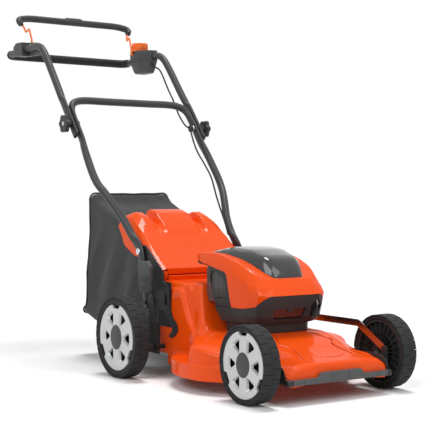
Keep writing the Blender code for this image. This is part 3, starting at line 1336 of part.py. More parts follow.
def add_cable(name, points, count, material, parent):
    curve = bpy.data.curves.new(name, "CURVE")
    curve.dimensions = "3D"
    curve.bevel_depth = CABLE_RADIUS
    curve.bevel_resolution = 2
    curve.use_fill_caps = True
    spline = curve.splines.new("POLY")
    route = [p - world_place(parent) for p in smooth_route(points, count)]
    spline.points.add(len(route) - 1)
    for target, p in zip(spline.points, route):
        target.co = (*p, 1.0)
    curve.materials.append(material)
    obj = bpy.data.objects.new(name, curve)
    obj.parent = parent
    bpy.context.collection.objects.link(obj)
    return obj


def build_clip(root):
    """Round clip on the left bolt's inner end, which both cables lie against."""
    bolt_end = LOWER_JOINT_X - JOINT_FLAT / 2 - GAP - 0.0030
    bm = bmesh.new()
    rod(bm, "x", (JOINT_Y, JOINT_Z), CLIP_RADIUS, CLIP_X + CABLE_RADIUS + GAP, bolt_end - GAP, 16)
    add_object("cable_clip", bm, MATERIALS["dark_plastic"], root)


UPPER_CABLE = [(0.1940, 1.0475, 0.8470), (0.1935, 1.0360, 0.8430), (0.1930, 1.0096, 0.8347), (0.1910, 0.9865,
                                                                                              0.8158),
               (0.1880, 0.9471, 0.7680), (0.1830, 0.9113, 0.7332), (0.1770, 0.8690, 0.6858), (0.1745, 0.8330,
                                                                                              0.6545),
               (CLIP_X, JOINT_Y + 0.0065, JOINT_Z + 0.0034)]
LOWER_CABLE = [(CLIP_X, JOINT_Y - 0.0065, JOINT_Z - 0.0051), (CLIP_X, 0.7821, 0.5998), (CLIP_X, 0.7611,
                                                                                        0.5703),
               (0.1720, 0.7226, 0.5350), (0.1680, 0.6840, 0.4976), (0.1560, 0.6430, 0.4500), (0.1480, 0.6120,
                                                                                              0.4150),
               (0.1440, 0.5850, 0.3800), (0.1410, 0.5620, 0.3420)]


MATERIALS = {}

FINISHES = {
    "orange": ((0.86, 0.125, 0.02), 0.32, 0.0),
    "orange_wire": ((0.86, 0.125, 0.02), 0.35, 0.0),
    "dark_plastic": ((0.045, 0.045, 0.047), 0.5, 0.0),
    "grey_plastic": ((0.10, 0.10, 0.105), 0.5, 0.0),
    "gloss_black": ((0.05, 0.05, 0.052), 0.18, 0.0),
    "dark_metal": ((0.085, 0.085, 0.088), 0.42, 0.3),
    "grey_metal": ((0.16, 0.16, 0.165), 0.3, 0.9),
    "steel": ((0.55, 0.56, 0.58), 0.3, 1.0),
    "aluminium": ((0.70, 0.71, 0.72), 0.35, 1.0),
    "silver": ((0.62, 0.63, 0.64), 0.35, 0.3),
    "rubber": ((0.035, 0.035, 0.037), 0.75, 0.0),
    "soft_grip": ((0.03, 0.03, 0.032), 0.7, 0.0),
    "fabric": ((0.08, 0.08, 0.083), 0.9, 0.0),
    "board": ((0.03, 0.16, 0.06), 0.5, 0.0),
    "guide": ((1.0, 1.0, 1.0), 0.5, 0.0),
}


def main():
    clear_scene()
    for name, finish in FINISHES.items():
        MATERIALS[name] = make_material(name, *finish)
    root = add_empty("mower", (0.0, 0.0, 0.0))
    root.location = (0.0, -MIDDLE_Y, 0.0)

    build_deck(root)
    build_bumper(root)
    build_pedestal(root)
    build_motor_cover(root)
    battery = add_empty("battery_slide", (0.0, 0.2, TRAY_FLOOR), root)
    build_power(root, battery)
    lid = add_empty("lid_hinge", (0.0, LID_REAR, cover_edge_z(LID_REAR) + 0.006), root)
    build_lid(lid)
    blade = add_empty("blade_axis", (0.0, SHAFT_Y, BLADE_Z), root)
    build_blade(blade)

    front = add_empty("front_axle_turn", (0.0, *FRONT_ROD), root)
    rear = add_empty("rear_axle_turn", (0.0, *REAR_ROD), root)
    front_axle = (0.0, FRONT_Z)
    rear_axle = (WHEEL_BASE, REAR_Z)
    build_axle("front_axle", front_axle, FRONT_ROD, FRONT_TRACK - WHEEL_WIDTH, FRONT_TRACK - 0.010,
               LINK_INNER - 0.0055, front)
    build_axle("rear_axle", rear_axle, REAR_ROD, REAR_TRACK - WHEEL_WIDTH, REAR_TRACK - 0.010,
               LEVER_INNER + LEVER_THICK + 0.006, rear)
    link = add_empty("link_turn", (0.0, REAR_ROD[0] + LINK_PIN_BACK, REAR_ROD[1] + LINK_PIN_UP), rear)
    build_link(link)
    build_lever(rear)
    corners = (("front", front_axle, FRONT_RADIUS, FRONT_CAP_RADIUS, FRONT_TRACK, front),
               ("rear", rear_axle, REAR_RADIUS, REAR_CAP_RADIUS, REAR_TRACK, rear))
    for end, axle, radius, cap, track, parent in corners:
        for side, label in ((1, "left"), (-1, "right")):
            spin = add_empty("spin_%s_%s" % (end, label), (side * track, *axle), parent)
            build_wheel(end + "_" + label, side, axle, radius, cap, track, spin)

    upper = add_empty("upper_handle_fold", (0.0, JOINT_Y, JOINT_Z), root)
    build_lower_handle(root)
    build_upper_handle(upper)
    for side, label in ((1, "left"), (-1, "right")):
        build_bracket(side, label, root)
        build_foot_bolt(side, label, root)
        knob = add_empty("knob_turn_" + label, (side * UPPER_JOINT_X, JOINT_Y, JOINT_Z), root)
        build_joint(side, label, root, knob)
    button = add_empty("button_slide", (HOUSING_LOW[0], HOUSING_LOW[1], HOUSING_HIGH[2]), upper)
    build_controls(upper, button)
    bail = add_empty("bail_turn", (0.0, BAIL_Y, BAIL_Z), upper)
    build_bail(bail)
    build_clip(root)
    add_cable("upper_cable", UPPER_CABLE, 18, MATERIALS["rubber"], upper)
    add_cable("lower_cable", LOWER_CABLE, 20, MATERIALS["rubber"], root)

    flap = add_empty("flap_turn", (0.0, HINGE_Y, HINGE_Z), root)
    build_flap(flap, root)
    bag = add_empty("bag_slide", (0.0, BAG_FRONT, 0.16), root)
    build_bag(bag)


main()
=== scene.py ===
import math
import bpy
import bmesh
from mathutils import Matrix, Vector
from mathutils.bvhtree import BVHTree


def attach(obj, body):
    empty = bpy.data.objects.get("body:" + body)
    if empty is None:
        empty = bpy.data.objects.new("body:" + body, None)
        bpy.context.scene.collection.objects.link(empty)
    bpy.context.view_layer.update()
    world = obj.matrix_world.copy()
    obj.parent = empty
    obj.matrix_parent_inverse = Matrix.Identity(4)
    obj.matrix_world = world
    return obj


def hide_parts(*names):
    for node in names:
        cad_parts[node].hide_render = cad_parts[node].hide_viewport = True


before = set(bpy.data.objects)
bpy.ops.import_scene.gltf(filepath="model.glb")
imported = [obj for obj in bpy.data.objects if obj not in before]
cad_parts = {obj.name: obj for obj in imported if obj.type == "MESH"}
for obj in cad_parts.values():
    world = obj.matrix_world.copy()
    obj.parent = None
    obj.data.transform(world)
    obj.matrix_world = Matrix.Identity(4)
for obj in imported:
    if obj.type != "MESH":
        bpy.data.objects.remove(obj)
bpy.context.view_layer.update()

print("mower scene: frame loaded,", len(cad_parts), "nodes")

# All sizes below are metres from the front axle: x to the mower's left, y to the rear, z up.
# The frame's own middle lies a little behind that, so every finished mesh moves forward by this much.
frameShift = 0.5802

scene = bpy.context.scene
scene.view_settings.view_transform = "Standard"


# shader maths: a socket that takes part in ordinary expressions

class Wire:
    def __init__(self, finish, socket):
        self.finish = finish
        self.socket = socket

    def maths(self, operation, other=None, turned=False):
        pair = (other, self) if turned else (self, other)
        values = {n: value for n, value in enumerate(pair) if value is not None}
        return self.finish.node("ShaderNodeMath", {"operation": operation}, values)

    def __add__(self, other): return self.maths("ADD", other)
    def __radd__(self, other): return self.maths("ADD", other, True)
    def __sub__(self, other): return self.maths("SUBTRACT", other)
    def __rsub__(self, other): return self.maths("SUBTRACT", other, True)
    def __mul__(self, other): return self.maths("MULTIPLY", other)
    def __rmul__(self, other): return self.maths("MULTIPLY", other, True)
    def sin(self): return self.maths("SINE")
    def atMost(self, other): return self.maths("MINIMUM", other)


def addNode(tree, kind, settings=None, inputs=None):
    # a node with its settings; each input is linked to a socket or set to a value
    made = tree.nodes.new(kind)
    for key, value in (settings or {}).items():
        setattr(made, key, value)
    for key, value in (inputs or {}).items():
        if isinstance(value, bpy.types.NodeSocket):
            tree.links.new(value, made.inputs[key])
        else:
            made.inputs[key].default_value = value
    return made


class Finish:
    def __init__(self, name, colour, roughness, **fixed):
        self.material = bpy.data.materials.new(name)
        self.material.use_nodes = True
        self.tree = self.material.node_tree
        self.shader = self.tree.nodes["Principled BSDF"]
        self.material.diffuse_color = (*colour, 1.0)
        self.shader.inputs["Base Color"].default_value = (*colour, 1.0)
        self.shader.inputs["Roughness"].default_value = roughness
        for socket, value in fixed.items():
            self.shader.inputs[socket.replace("_", " ")].default_value = value

    def node(self, kind, settings=None, inputs=None, output=0):
        values = {key: value.socket if isinstance(value, Wire) else value
                  for key, value in (inputs or {}).items()}
        return Wire(self, addNode(self.tree, kind, settings, values).outputs[output])

    def where(self, stretch=(1.0, 1.0, 1.0)):
        place = self.node("ShaderNodeTexCoord", output="Object")
        if stretch == (1.0, 1.0, 1.0):
            return place
        return self.node("ShaderNodeVectorMath", {"operation": "MULTIPLY"}, {0: place, 1: stretch})

    def noise(self, scale, detail=2.0, stretch=(1.0, 1.0, 1.0)):
        return self.node("ShaderNodeTexNoise", None,
                         {"Vector": self.where(stretch), "Scale": scale, "Detail": detail}, "Fac")

    def shade(self, first, second, factor):
        return self.node("ShaderNodeMix", {"data_type": "RGBA"}, {0: factor, 6: first, 7: second}, 2)

    def feed(self, socket, wire):
        self.tree.links.new(wire.socket, self.shader.inputs[socket])

    def bump(self, height, strength, distance):
        values = {"Height": height, "Strength": strength, "Distance": distance}
        self.feed("Normal", self.node("ShaderNodeBump", None, values))


def tinted(colour, share):
    return (*[min(1.0, c * share) for c in colour], 1.0)


def mouldedFinish(name, colour, roughness, coat=0.0, peel=0.12, spread=0.06, grain=900.0, shine=0.3):
    made = Finish(name, colour, roughness, Coat_Weight=coat, Coat_Roughness=0.08, Specular_IOR_Level=shine)
    cloud = made.noise(9.0, 3.0)
    made.feed("Base Color", made.shade(tinted(colour, 1.0 - spread), tinted(colour, 1.0 + spread), cloud))
    fine = made.noise(grain, 2.0)
    dust = made.noise(38.0, 4.0)
    made.feed("Roughness", (fine * 0.06 + dust * 0.1 + (roughness - 0.08)).atMost(1.0))
    made.bump(fine * 0.4 + made.noise(150.0, 2.0) * 0.6, peel, 0.0004)
    return made.material


def paintedMetal(name, colour, roughness, metallic=0.1, shine=0.35):
    made = Finish(name, colour, roughness, Metallic=metallic, Specular_IOR_Level=shine)
    speck = made.noise(2400.0, 1.0)
    cloud = made.noise(14.0, 3.0)
    made.feed("Base Color", made.shade(tinted(colour, 0.9), tinted(colour, 1.12), cloud * 0.6 + speck * 0.4))
    made.feed("Roughness", cloud * 0.12 + (roughness - 0.06))
    made.bump(speck, 0.22, 0.0003)
    return made.material


def brushedMetal(name, colour, roughness, stretch=(1.0, 1.0, 1.0)):
    made = Finish(name, colour, roughness, Metallic=1.0)
    lines = made.noise(700.0, 3.0, stretch)
    made.feed("Base Color", made.shade(tinted(colour, 0.86), tinted(colour, 1.08), lines))
    made.feed("Roughness", lines * 0.16 + (roughness - 0.06))
    made.bump(lines, 0.1, 0.0002)
    return made.material


def rubberFinish(name, colour, roughness, shine=0.25):
    made = Finish(name, colour, roughness, Specular_IOR_Level=shine)
    scuff = made.noise(55.0, 5.0)
    fine = made.noise(1500.0, 2.0)
    made.feed("Base Color", made.shade(tinted(colour, 0.82), tinted(colour, 1.25), scuff))
    made.feed("Roughness", (scuff * 0.18 + (roughness - 0.08)).atMost(1.0))
    made.bump(fine * 0.5 + scuff * 0.5, 0.25, 0.0004)
    return made.material


def wovenCloth(name, colour):
    made = Finish(name, colour, 0.85, Sheen_Weight=0.15, Sheen_Roughness=0.4)
    parts = addNode(made.tree, "ShaderNodeSeparateXYZ", None, {0: made.where().socket})
    x, y, z = [Wire(made, parts.outputs[k]) for k in range(3)]
    thread = 0.0022
    pitch = 2 * math.pi / thread
    across = ((x + y) * pitch).sin()
    upward = (z * pitch).sin()
    weave = (across * upward) * 0.5 + 0.5
    dirt = made.noise(11.0, 4.0)
    blend = made.shade(tinted(colour, 0.72), tinted(colour, 1.22), weave * 0.45 + dirt * 0.55)
    made.feed("Base Color", blend)
    made.feed("Roughness", dirt * 0.12 + 0.8)
    made.bump(weave * 0.7 + made.noise(500.0, 2.0) * 0.3, 0.3, 0.0004)
    return made.material


paint = {
    "orange": (0.86, 0.08, 0.002),
    "orangeWire": (1.0, 0.2, 0.035),
    "darkPlastic": (0.032, 0.033, 0.034),
    "greyPlastic": (0.058, 0.06, 0.061),
    "bumperPlastic": (0.082, 0.084, 0.085),
    "beltPlastic": (0.037, 0.038, 0.039),
    "tubePaint": (0.037, 0.038, 0.039),
    "rubber": (0.02, 0.021, 0.022),
    "silver": (0.57, 0.58, 0.59),
    "cloth": (0.034, 0.035, 0.036),
}

orangeShell = mouldedFinish("orangeShell", paint["orange"], 0.45, coat=0.35, peel=0.03, spread=0.03,
                            shine=0.06)
orangeDeck = mouldedFinish("orangeDeck", paint["orange"], 0.45, coat=0.35, peel=0.05, spread=0.05, shine=0.06)
# painted shade: the orange deck's dark red in shade, laid along the hood grooves
grooveShadeRed = mouldedFinish("grooveShadeRed", (0.22, 0.012, 0.001), 0.55, spread=0.05, shine=0.15)
orangePart = mouldedFinish("orangePart", paint["orangeWire"], 0.38, coat=0.2, peel=0.08, spread=0.03,
                           shine=0.2)
darkPlastic = mouldedFinish("darkPlastic", paint["darkPlastic"], 0.5, peel=0.3, spread=0.1, grain=1400.0)
beltPlastic = mouldedFinish("beltPlastic", paint["beltPlastic"], 0.46, peel=0.18, spread=0.06, grain=1400.0,
                            shine=0.2)
greyPlastic = mouldedFinish("greyPlastic", paint["greyPlastic"], 0.52, peel=0.28, spread=0.07, grain=1200.0)
bumperPlastic = mouldedFinish("bumperPlastic", paint["bumperPlastic"], 0.52, peel=0.28, spread=0.07,
                              grain=1200.0)
ventPanel = mouldedFinish("ventPanel", (0.085, 0.087, 0.088), 0.2, coat=0.5, peel=0.03, spread=0.25,
                          grain=300.0)
glossBlack = mouldedFinish("glossBlack", (0.016, 0.0165, 0.017), 0.14, coat=0.8, peel=0.02, spread=0.05)
tubePaint = paintedMetal("tubePaint", paint["tubePaint"], 0.42)
darkPaint = paintedMetal("darkPaint", (0.023, 0.024, 0.025), 0.5)
linkPaint = paintedMetal("linkPaint", (0.4, 0.4, 0.41), 0.18, 1.0)
silverCap = paintedMetal("silverCap", paint["silver"], 0.36, 0.3)
platedSteel = brushedMetal("platedSteel", (0.62, 0.63, 0.65), 0.28)
bladeSteel = brushedMetal("bladeSteel", (0.5, 0.51, 0.53), 0.35, (1.0, 12.0, 1.0))
motorSteel = brushedMetal("motorSteel", (0.45, 0.42, 0.38), 0.4, (1.0, 1.0, 18.0))
tyreRubber = rubberFinish("tyreRubber", paint["rubber"], 0.72)
gripRubber = rubberFinish("gripRubber", (0.012, 0.012, 0.0125), 0.6)
cableRubber = rubberFinish("cableRubber", (0.02, 0.02, 0.021), 0.55)
bagCloth = wovenCloth("bagCloth", paint["cloth"])
bagBinding = rubberFinish("bagBinding", (0.035, 0.035, 0.036), 0.6)
boardGreen = mouldedFinish("boardGreen", (0.02, 0.13, 0.05), 0.45, coat=0.3, spread=0.15)
print("materials made:", len(bpy.data.materials))


# mesh helpers

def smooth(t):
    t = min(max(t, 0.0), 1.0)
    return t * t * (3 - 2 * t)


def readTable(table, y):
    if y <= table[0][0]:
        return table[0][1]
    for (y0, v0), (y1, v1) in zip(table, table[1:]):
        if y <= y1:
            return v0 + (v1 - v0) * (y - y0) / (y1 - y0)
    return table[-1][1]


def between(first, second, t):
    return [a + (b - a) * t for a, b in zip(first, second)]


def polar(centre, reach, angle):
    return (centre[0] + reach * math.cos(angle), centre[1] + reach * math.sin(angle))


def curveThrough(points, gap):
    # a smooth line through the points, read about every gap
    knots = [Vector(p) for p in points]
    knots = [knots[0] * 2 - knots[1]] + knots + [knots[-1] * 2 - knots[-2]]
    out = []
    for a, b, c, d in zip(knots, knots[1:], knots[2:], knots[3:]):
        count = max(1, int(round((c - b).length / gap)))
        for i in range(count):
            t = i / count
            out.append(0.5 * ((2 * b) + (c - a) * t + (2 * a - 5 * b + 4 * c - d) * t * t
                              + (3 * b - 3 * c + d - a) * t ** 3))
    out.append(knots[-2])
    return out


def skin(bm, rings, closed=True, capStart=True, capEnd=True):
    rows = [[bm.verts.new(p) for p in ring] for ring in rings]
    count = len(rows[0]) if closed else len(rows[0]) - 1
    for first, second in zip(rows, rows[1:]):
        for i in range(count):
            j = (i + 1) % len(first)
            bm.faces.new((first[i], first[j], second[j], second[i]))
    if capStart:
        bm.faces.new(rows[0])
    if capEnd:
        bm.faces.new(list(reversed(rows[-1])))


def meshOf(shape, *values, **named):
    # one shape in a mesh of its own
    bm = bmesh.new()
    shape(bm, *values, **named)
    return bm


def facetted(rings, capStart=True):
    # a closed skin whose faces are split into triangles
    bm = meshOf(skin, rings, True, capStart)
    bmesh.ops.triangulate(bm, faces=bm.faces)
    return bm


def mirrored(points):
    return points + [(-p[0], *p[1:]) for p in reversed(points[:-1])]


def mirroredRings(rows):
    # cross sections of (x, z), each with its place y, whose halves are alike
    return [[(x, y, z) for x, z in mirrored(section)] for y, section in rows]


def wholePlan(half):
    # a plan whose first and last points lie on the middle line
    return half + [(-x, y) for x, y in reversed(half[1:-1])]


def circle(radius, sides, centre=(0.0, 0.0)):
    return [polar(centre, radius, 2 * math.pi * k / sides) for k in range(sides)]


def band(bm, rings):
    # each ring is joined to the next, and the last to the first
    rows = [[bm.verts.new(p) for p in ring] for ring in rings]
    for first, second in zip(rows, rows[1:] + rows[:1]):
        for i in range(len(first)):
            j = (i + 1) % len(first)
            bm.faces.new((first[i], first[j], second[j], second[i]))


turnPlanes = {"x": lambda a, b, t: (t, a, b), "y": lambda a, b, t: (a, t, b), "z": lambda a, b, t: (a, b, t)}


def prism(bm, outline, axis, start, stop):
    place = turnPlanes[axis]
    skin(bm, [[place(a, b, t) for a, b in outline] for t in (start, stop)])


def lathe(bm, profile, axis, centre, sides):
    # a closed profile of (radius, place along the axis) turned about the axis
    place = turnPlanes[axis]
    angles = [2 * math.pi * k / sides for k in range(sides)]
    band(bm, [[place(*polar(centre, r, a), t) for r, t in profile] for a in angles])


def turned(bm, profile, axis, centre, sides):
    # an open profile from the axis out and back, its end rings closed by faces
    place = turnPlanes[axis]
    skin(bm, [[place(a, b, t) for a, b in circle(r, sides, centre)] for r, t in profile])


def sweepRings(path, sections, sides):
    side = None
    rings = []
    for i, point in enumerate(path):
        forward = (path[min(i + 1, len(path) - 1)] - path[max(i - 1, 0)]).normalized()
        if side is None:
            side = Vector((1, 0, 0)) if abs(forward.x) < 0.9 else Vector((0, 0, 1))
        side = (side - forward * side.dot(forward)).normalized()
        other = forward.cross(side)
        a, b = sections[i]
        rings.append([point + side * a * math.cos(2 * math.pi * k / sides)
                      + other * b * math.sin(2 * math.pi * k / sides) for k in range(sides)])
    return rings


def sweep(bm, path, sections, sides=24, roundEnds=0.0):
    path = [Vector(p) for p in path]
    if not isinstance(sections, list):
        sections = [sections] * len(path)
    if roundEnds:
        first = (path[0] - path[1]).normalized()
        last = (path[-1] - path[-2]).normalized()
        a, b = sections[0]
        c, d = sections[-1]
        path = [path[0] + first * roundEnds, path[0] + first * roundEnds * 0.7] + path
        path += [path[-1] + last * roundEnds * 0.7, path[-1] + last * roundEnds]
        sections = [(a * 0.45, b * 0.45), (a * 0.8, b * 0.8)] + sections
        sections += [(c * 0.8, d * 0.8), (c * 0.45, d * 0.45)]
    skin(bm, sweepRings(path, sections, sides))


def plainMesh(obj):
    # the object's modifiers worked into its mesh
    bpy.context.view_layer.update()
    graph = bpy.context.evaluated_depsgraph_get()
    mesh = bpy.data.meshes.new_from_object(obj.evaluated_get(graph))
    obj.modifiers.clear()
    old = obj.data
    obj.data = mesh
    bpy.data.meshes.remove(old)


def objectFrom(name, bm, material=None, outward=True):
    if outward:
        bmesh.ops.recalc_face_normals(bm, faces=bm.faces)
    bmesh.ops.translate(bm, verts=bm.verts, vec=(0.0, -frameShift, 0.0))
    mesh = bpy.data.meshes.new(name)
    bm.to_mesh(mesh)
    bm.free()
    if material:
        mesh.materials.append(material)
    obj = bpy.data.objects.new(name, mesh)
    scene.collection.objects.link(obj)
    return obj


def shaped(name, material, shape, *values, **named):
    return objectFrom(name, meshOf(shape, *values, **named), material)


def addModifier(obj, kind, **settings):
    made = obj.modifiers.new(kind.lower(), kind)
    for key, value in settings.items():
        setattr(made, key, value)
    return made


def bevelled(obj, width, segments=2, angle=40.0):
    addModifier(obj, "BEVEL", width=width, segments=segments, limit_method="ANGLE",
                angle_limit=math.radians(angle), harden_normals=False)


def walled(obj, thickness, even=True):
    addModifier(obj, "SOLIDIFY", thickness=thickness, offset=-1.0, use_even_offset=even, use_rim=True)


def rounded(obj, levels=2):
    addModifier(obj, "SUBSURF", levels=levels, render_levels=levels)


def carveMesh(obj, bm, operation="DIFFERENCE"):
    # one Boolean with a mesh in the sizes' own coordinates
    other = objectFrom(obj.name + "_tool", bm)
    made = addModifier(obj, "BOOLEAN", operation=operation, solver="EXACT", object=other)
    plainMesh(obj)
    bpy.data.objects.remove(other, do_unlink=True)


def carve(obj, shape, *values, operation="DIFFERENCE"):
    carveMesh(obj, meshOf(shape, *values), operation)


def finished(obj, body, nodes=(), sharp=35.0):
    plainMesh(obj)
    mesh = obj.data
    mesh.shade_smooth()
    mesh.set_sharp_from_angle(angle=math.radians(sharp))
    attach(obj, body)
    if nodes:
        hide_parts(*nodes)
    return obj


# Geometry Nodes: blocks set round an axle or along a line, for lugs, flutes, ribs and slats

def blockTree(name, around, material):
    tree = bpy.data.node_groups.new(name, "GeometryNodeTree")
    tree.interface.new_socket("Geometry", in_out="OUTPUT", socket_type="NodeSocketGeometry")
    kinds = {"Count": "NodeSocketInt", "Reach": "NodeSocketFloat"}
    ids = {}
    for label in ("Count", "Reach", "Size", "Middle", "Turn", "Start", "Step"):
        kind = kinds.get(label, "NodeSocketVector")
        ids[label] = tree.interface.new_socket(label, in_out="INPUT", socket_type=kind).identifier
    given = addNode(tree, "NodeGroupInput").outputs
    block = addNode(tree, "GeometryNodeMeshCube", None, {"Size": given["Size"]})
    values = {"Instance": block.outputs[0]}
    if around:
        line = addNode(tree, "GeometryNodeMeshCircle", None,
                       {"Vertices": given["Count"], "Radius": given["Reach"]})
        level = addNode(tree, "FunctionNodeAlignRotationToVector", {"axis": "X"}, {"Vector": (0.0, 0.0, 1.0)})
        here = addNode(tree, "GeometryNodeInputPosition")
        facing = addNode(tree, "FunctionNodeAlignRotationToVector", {"axis": "Z", "pivot_axis": "X"},
                         {"Rotation": level.outputs[0], "Vector": here.outputs[0]})
        values["Rotation"] = facing.outputs[0]
    else:
        line = addNode(tree, "GeometryNodeMeshLine", None,
                       {"Count": given["Count"], "Start Location": given["Start"], "Offset": given["Step"]})
    values["Points"] = line.outputs[0]
    copies = addNode(tree, "GeometryNodeInstanceOnPoints", None, values)
    placed = addNode(tree, "GeometryNodeTransform", None, {"Geometry": copies.outputs[0],
                     "Translation": given["Middle"], "Rotation": given["Turn"]})
    real = addNode(tree, "GeometryNodeRealizeInstances", None, {0: placed.outputs[0]})
    painted = addNode(tree, "GeometryNodeSetMaterial", None,
                      {"Geometry": real.outputs[0], "Material": material})
    addNode(tree, "NodeGroupOutput", None, {0: painted.outputs[0]})
    return tree, ids


def blocks(name, kind, material, **values):
    tree, ids = kind
    obj = bpy.data.objects.new(name, bpy.data.meshes.new(name))
    scene.collection.objects.link(obj)
    made = obj.modifiers.new("blocks", "NODES")
    made.node_group = tree
    given = {"Count": 8, "Reach": 0.05, "Size": (0.01, 0.01, 0.01), "Middle": (0, 0, 0), "Turn": (0, 0, 0),
             "Start": (0, 0, 0), "Step": (0, 0, 0)}
    given.update(values)
    x, y, z = given["Middle"]
    given["Middle"] = (x, y - frameShift, z)
    for label, value in given.items():
        made[ids[label]] = value
    obj.update_tag()
    plainMesh(obj)
    obj.data.materials.clear()
    obj.data.materials.append(material)
    return obj


def joined(main, *others):
    # meshes with one material each become one mesh
    bm = bmesh.new()
    bm.from_mesh(main.data)
    for other in others:
        bm.from_mesh(other.data)
        old = other.data
        bpy.data.objects.remove(other, do_unlink=True)
        bpy.data.meshes.remove(old)
    bm.to_mesh(main.data)
    bm.free()
    return main


roundAxle = blockTree("blocksRoundAxle", True, tyreRubber)
inRow = blockTree("blocksInRow", False, darkPlastic)
flanks = ((1, "left"), (-1, "right"))


# camera, light and floor

camera = {"place": (-1.6203, -1.9713, 0.4488), "tilt": 89.01, "turn": -34.14, "lens": 95.23, "sensor": 36.0}
lens = bpy.data.cameras.new("photoCamera")
lens.lens = camera["lens"]
lens.sensor_width = camera["sensor"]
cameraObject = bpy.data.objects.new("photoCamera", lens)
cameraObject.location = Vector(camera["place"]) - Vector((0.0, frameShift, 0.0))
cameraObject.rotation_euler = (math.radians(camera["tilt"]), 0.0, math.radians(camera["turn"]))
scene.collection.objects.link(cameraObject)
scene.camera = cameraObject

studio = {"world": 0.22, "floorLift": 0.01, "floor": 0.97, "floorHalf": 14.0}
lamps = [
    # name, direction it comes from, strength, softness in degrees
    ("roofLamp", (0.14, 0.08, 1.0), 1.8, 20.0),
    ("sideLamp", (-1.0, -0.45, 0.9), 1.05, 36.0),
    ("frontLamp", (0.35, -1.0, 0.85), 0.7, 36.0),
]
for name, source, strength, softness in lamps:
    light = bpy.data.lights.new(name, "SUN")
    light.energy = strength
    light.angle = math.radians(softness)
    lamp = bpy.data.objects.new(name, light)
    lamp.rotation_euler = (-Vector(source)).to_track_quat("-Z", "Y").to_euler()
    scene.collection.objects.link(lamp)

world = bpy.data.worlds.new("paleStudio")
world.use_nodes = True
scene.world = world
tree = world.node_tree
back = tree.nodes["Background"]
back.inputs["Color"].default_value = (1.0, 1.0, 1.0, 1.0)
# full strength for rays that see the background, less for the light on the mower
rays = addNode(tree, "ShaderNodeLightPath").outputs
seen = addNode(tree, "ShaderNodeMath", {"operation": "MAXIMUM"},
               {0: rays["Is Camera Ray"], 1: rays["Is Transmission Ray"]})
glossy = addNode(tree, "ShaderNodeMath", {"operation": "MAXIMUM"},
                 {0: seen.outputs[0], 1: rays["Is Glossy Ray"]})
level = addNode(tree, "ShaderNodeMapRange", None,
                {"Value": glossy.outputs[0], "To Min": studio["world"], "To Max": 1.0})
tree.links.new(level.outputs[0], back.inputs["Strength"])

bm = bmesh.new()
bmesh.ops.create_grid(bm, x_segments=1, y_segments=1, size=studio["floorHalf"])
floor = objectFrom("studioFloor", bm)
floorMaterial = bpy.data.materials.new("paleFloor")
floorMaterial.use_nodes = True
tree = floorMaterial.node_tree
tree.nodes.remove(tree.nodes["Principled BSDF"])
matte = addNode(tree, "ShaderNodeBsdfDiffuse", None, {"Color": (studio["floor"],) * 3 + (1.0,)})
rays = addNode(tree, "ShaderNodeLightPath").outputs
level = addNode(tree, "ShaderNodeMath", {"operation": "MULTIPLY"},
                {0: rays["Is Camera Ray"], 1: studio["floorLift"]})
lift = addNode(tree, "ShaderNodeEmission", None, {"Strength": level.outputs[0]})
together = addNode(tree, "ShaderNodeAddShader", None, {0: matte.outputs[0], 1: lift.outputs[0]})
tree.links.new(together.outputs[0], tree.nodes["Material Output"].inputs["Surface"])
floor.data.materials.append(floorMaterial)
print("camera, lamps and floor ready")


# wheels

wheelSize = {"width": 0.0416, "tread": 0.0016, "boss": 0.33, "windowNear": 0.4, "windowFar": 0.8,
             "hub": 0.022, "bore": 0.0066, "ribs": 24, "windows": 6, "lugTall": 0.0046}
acrossTurn = (0.0, math.radians(90), 0.0)


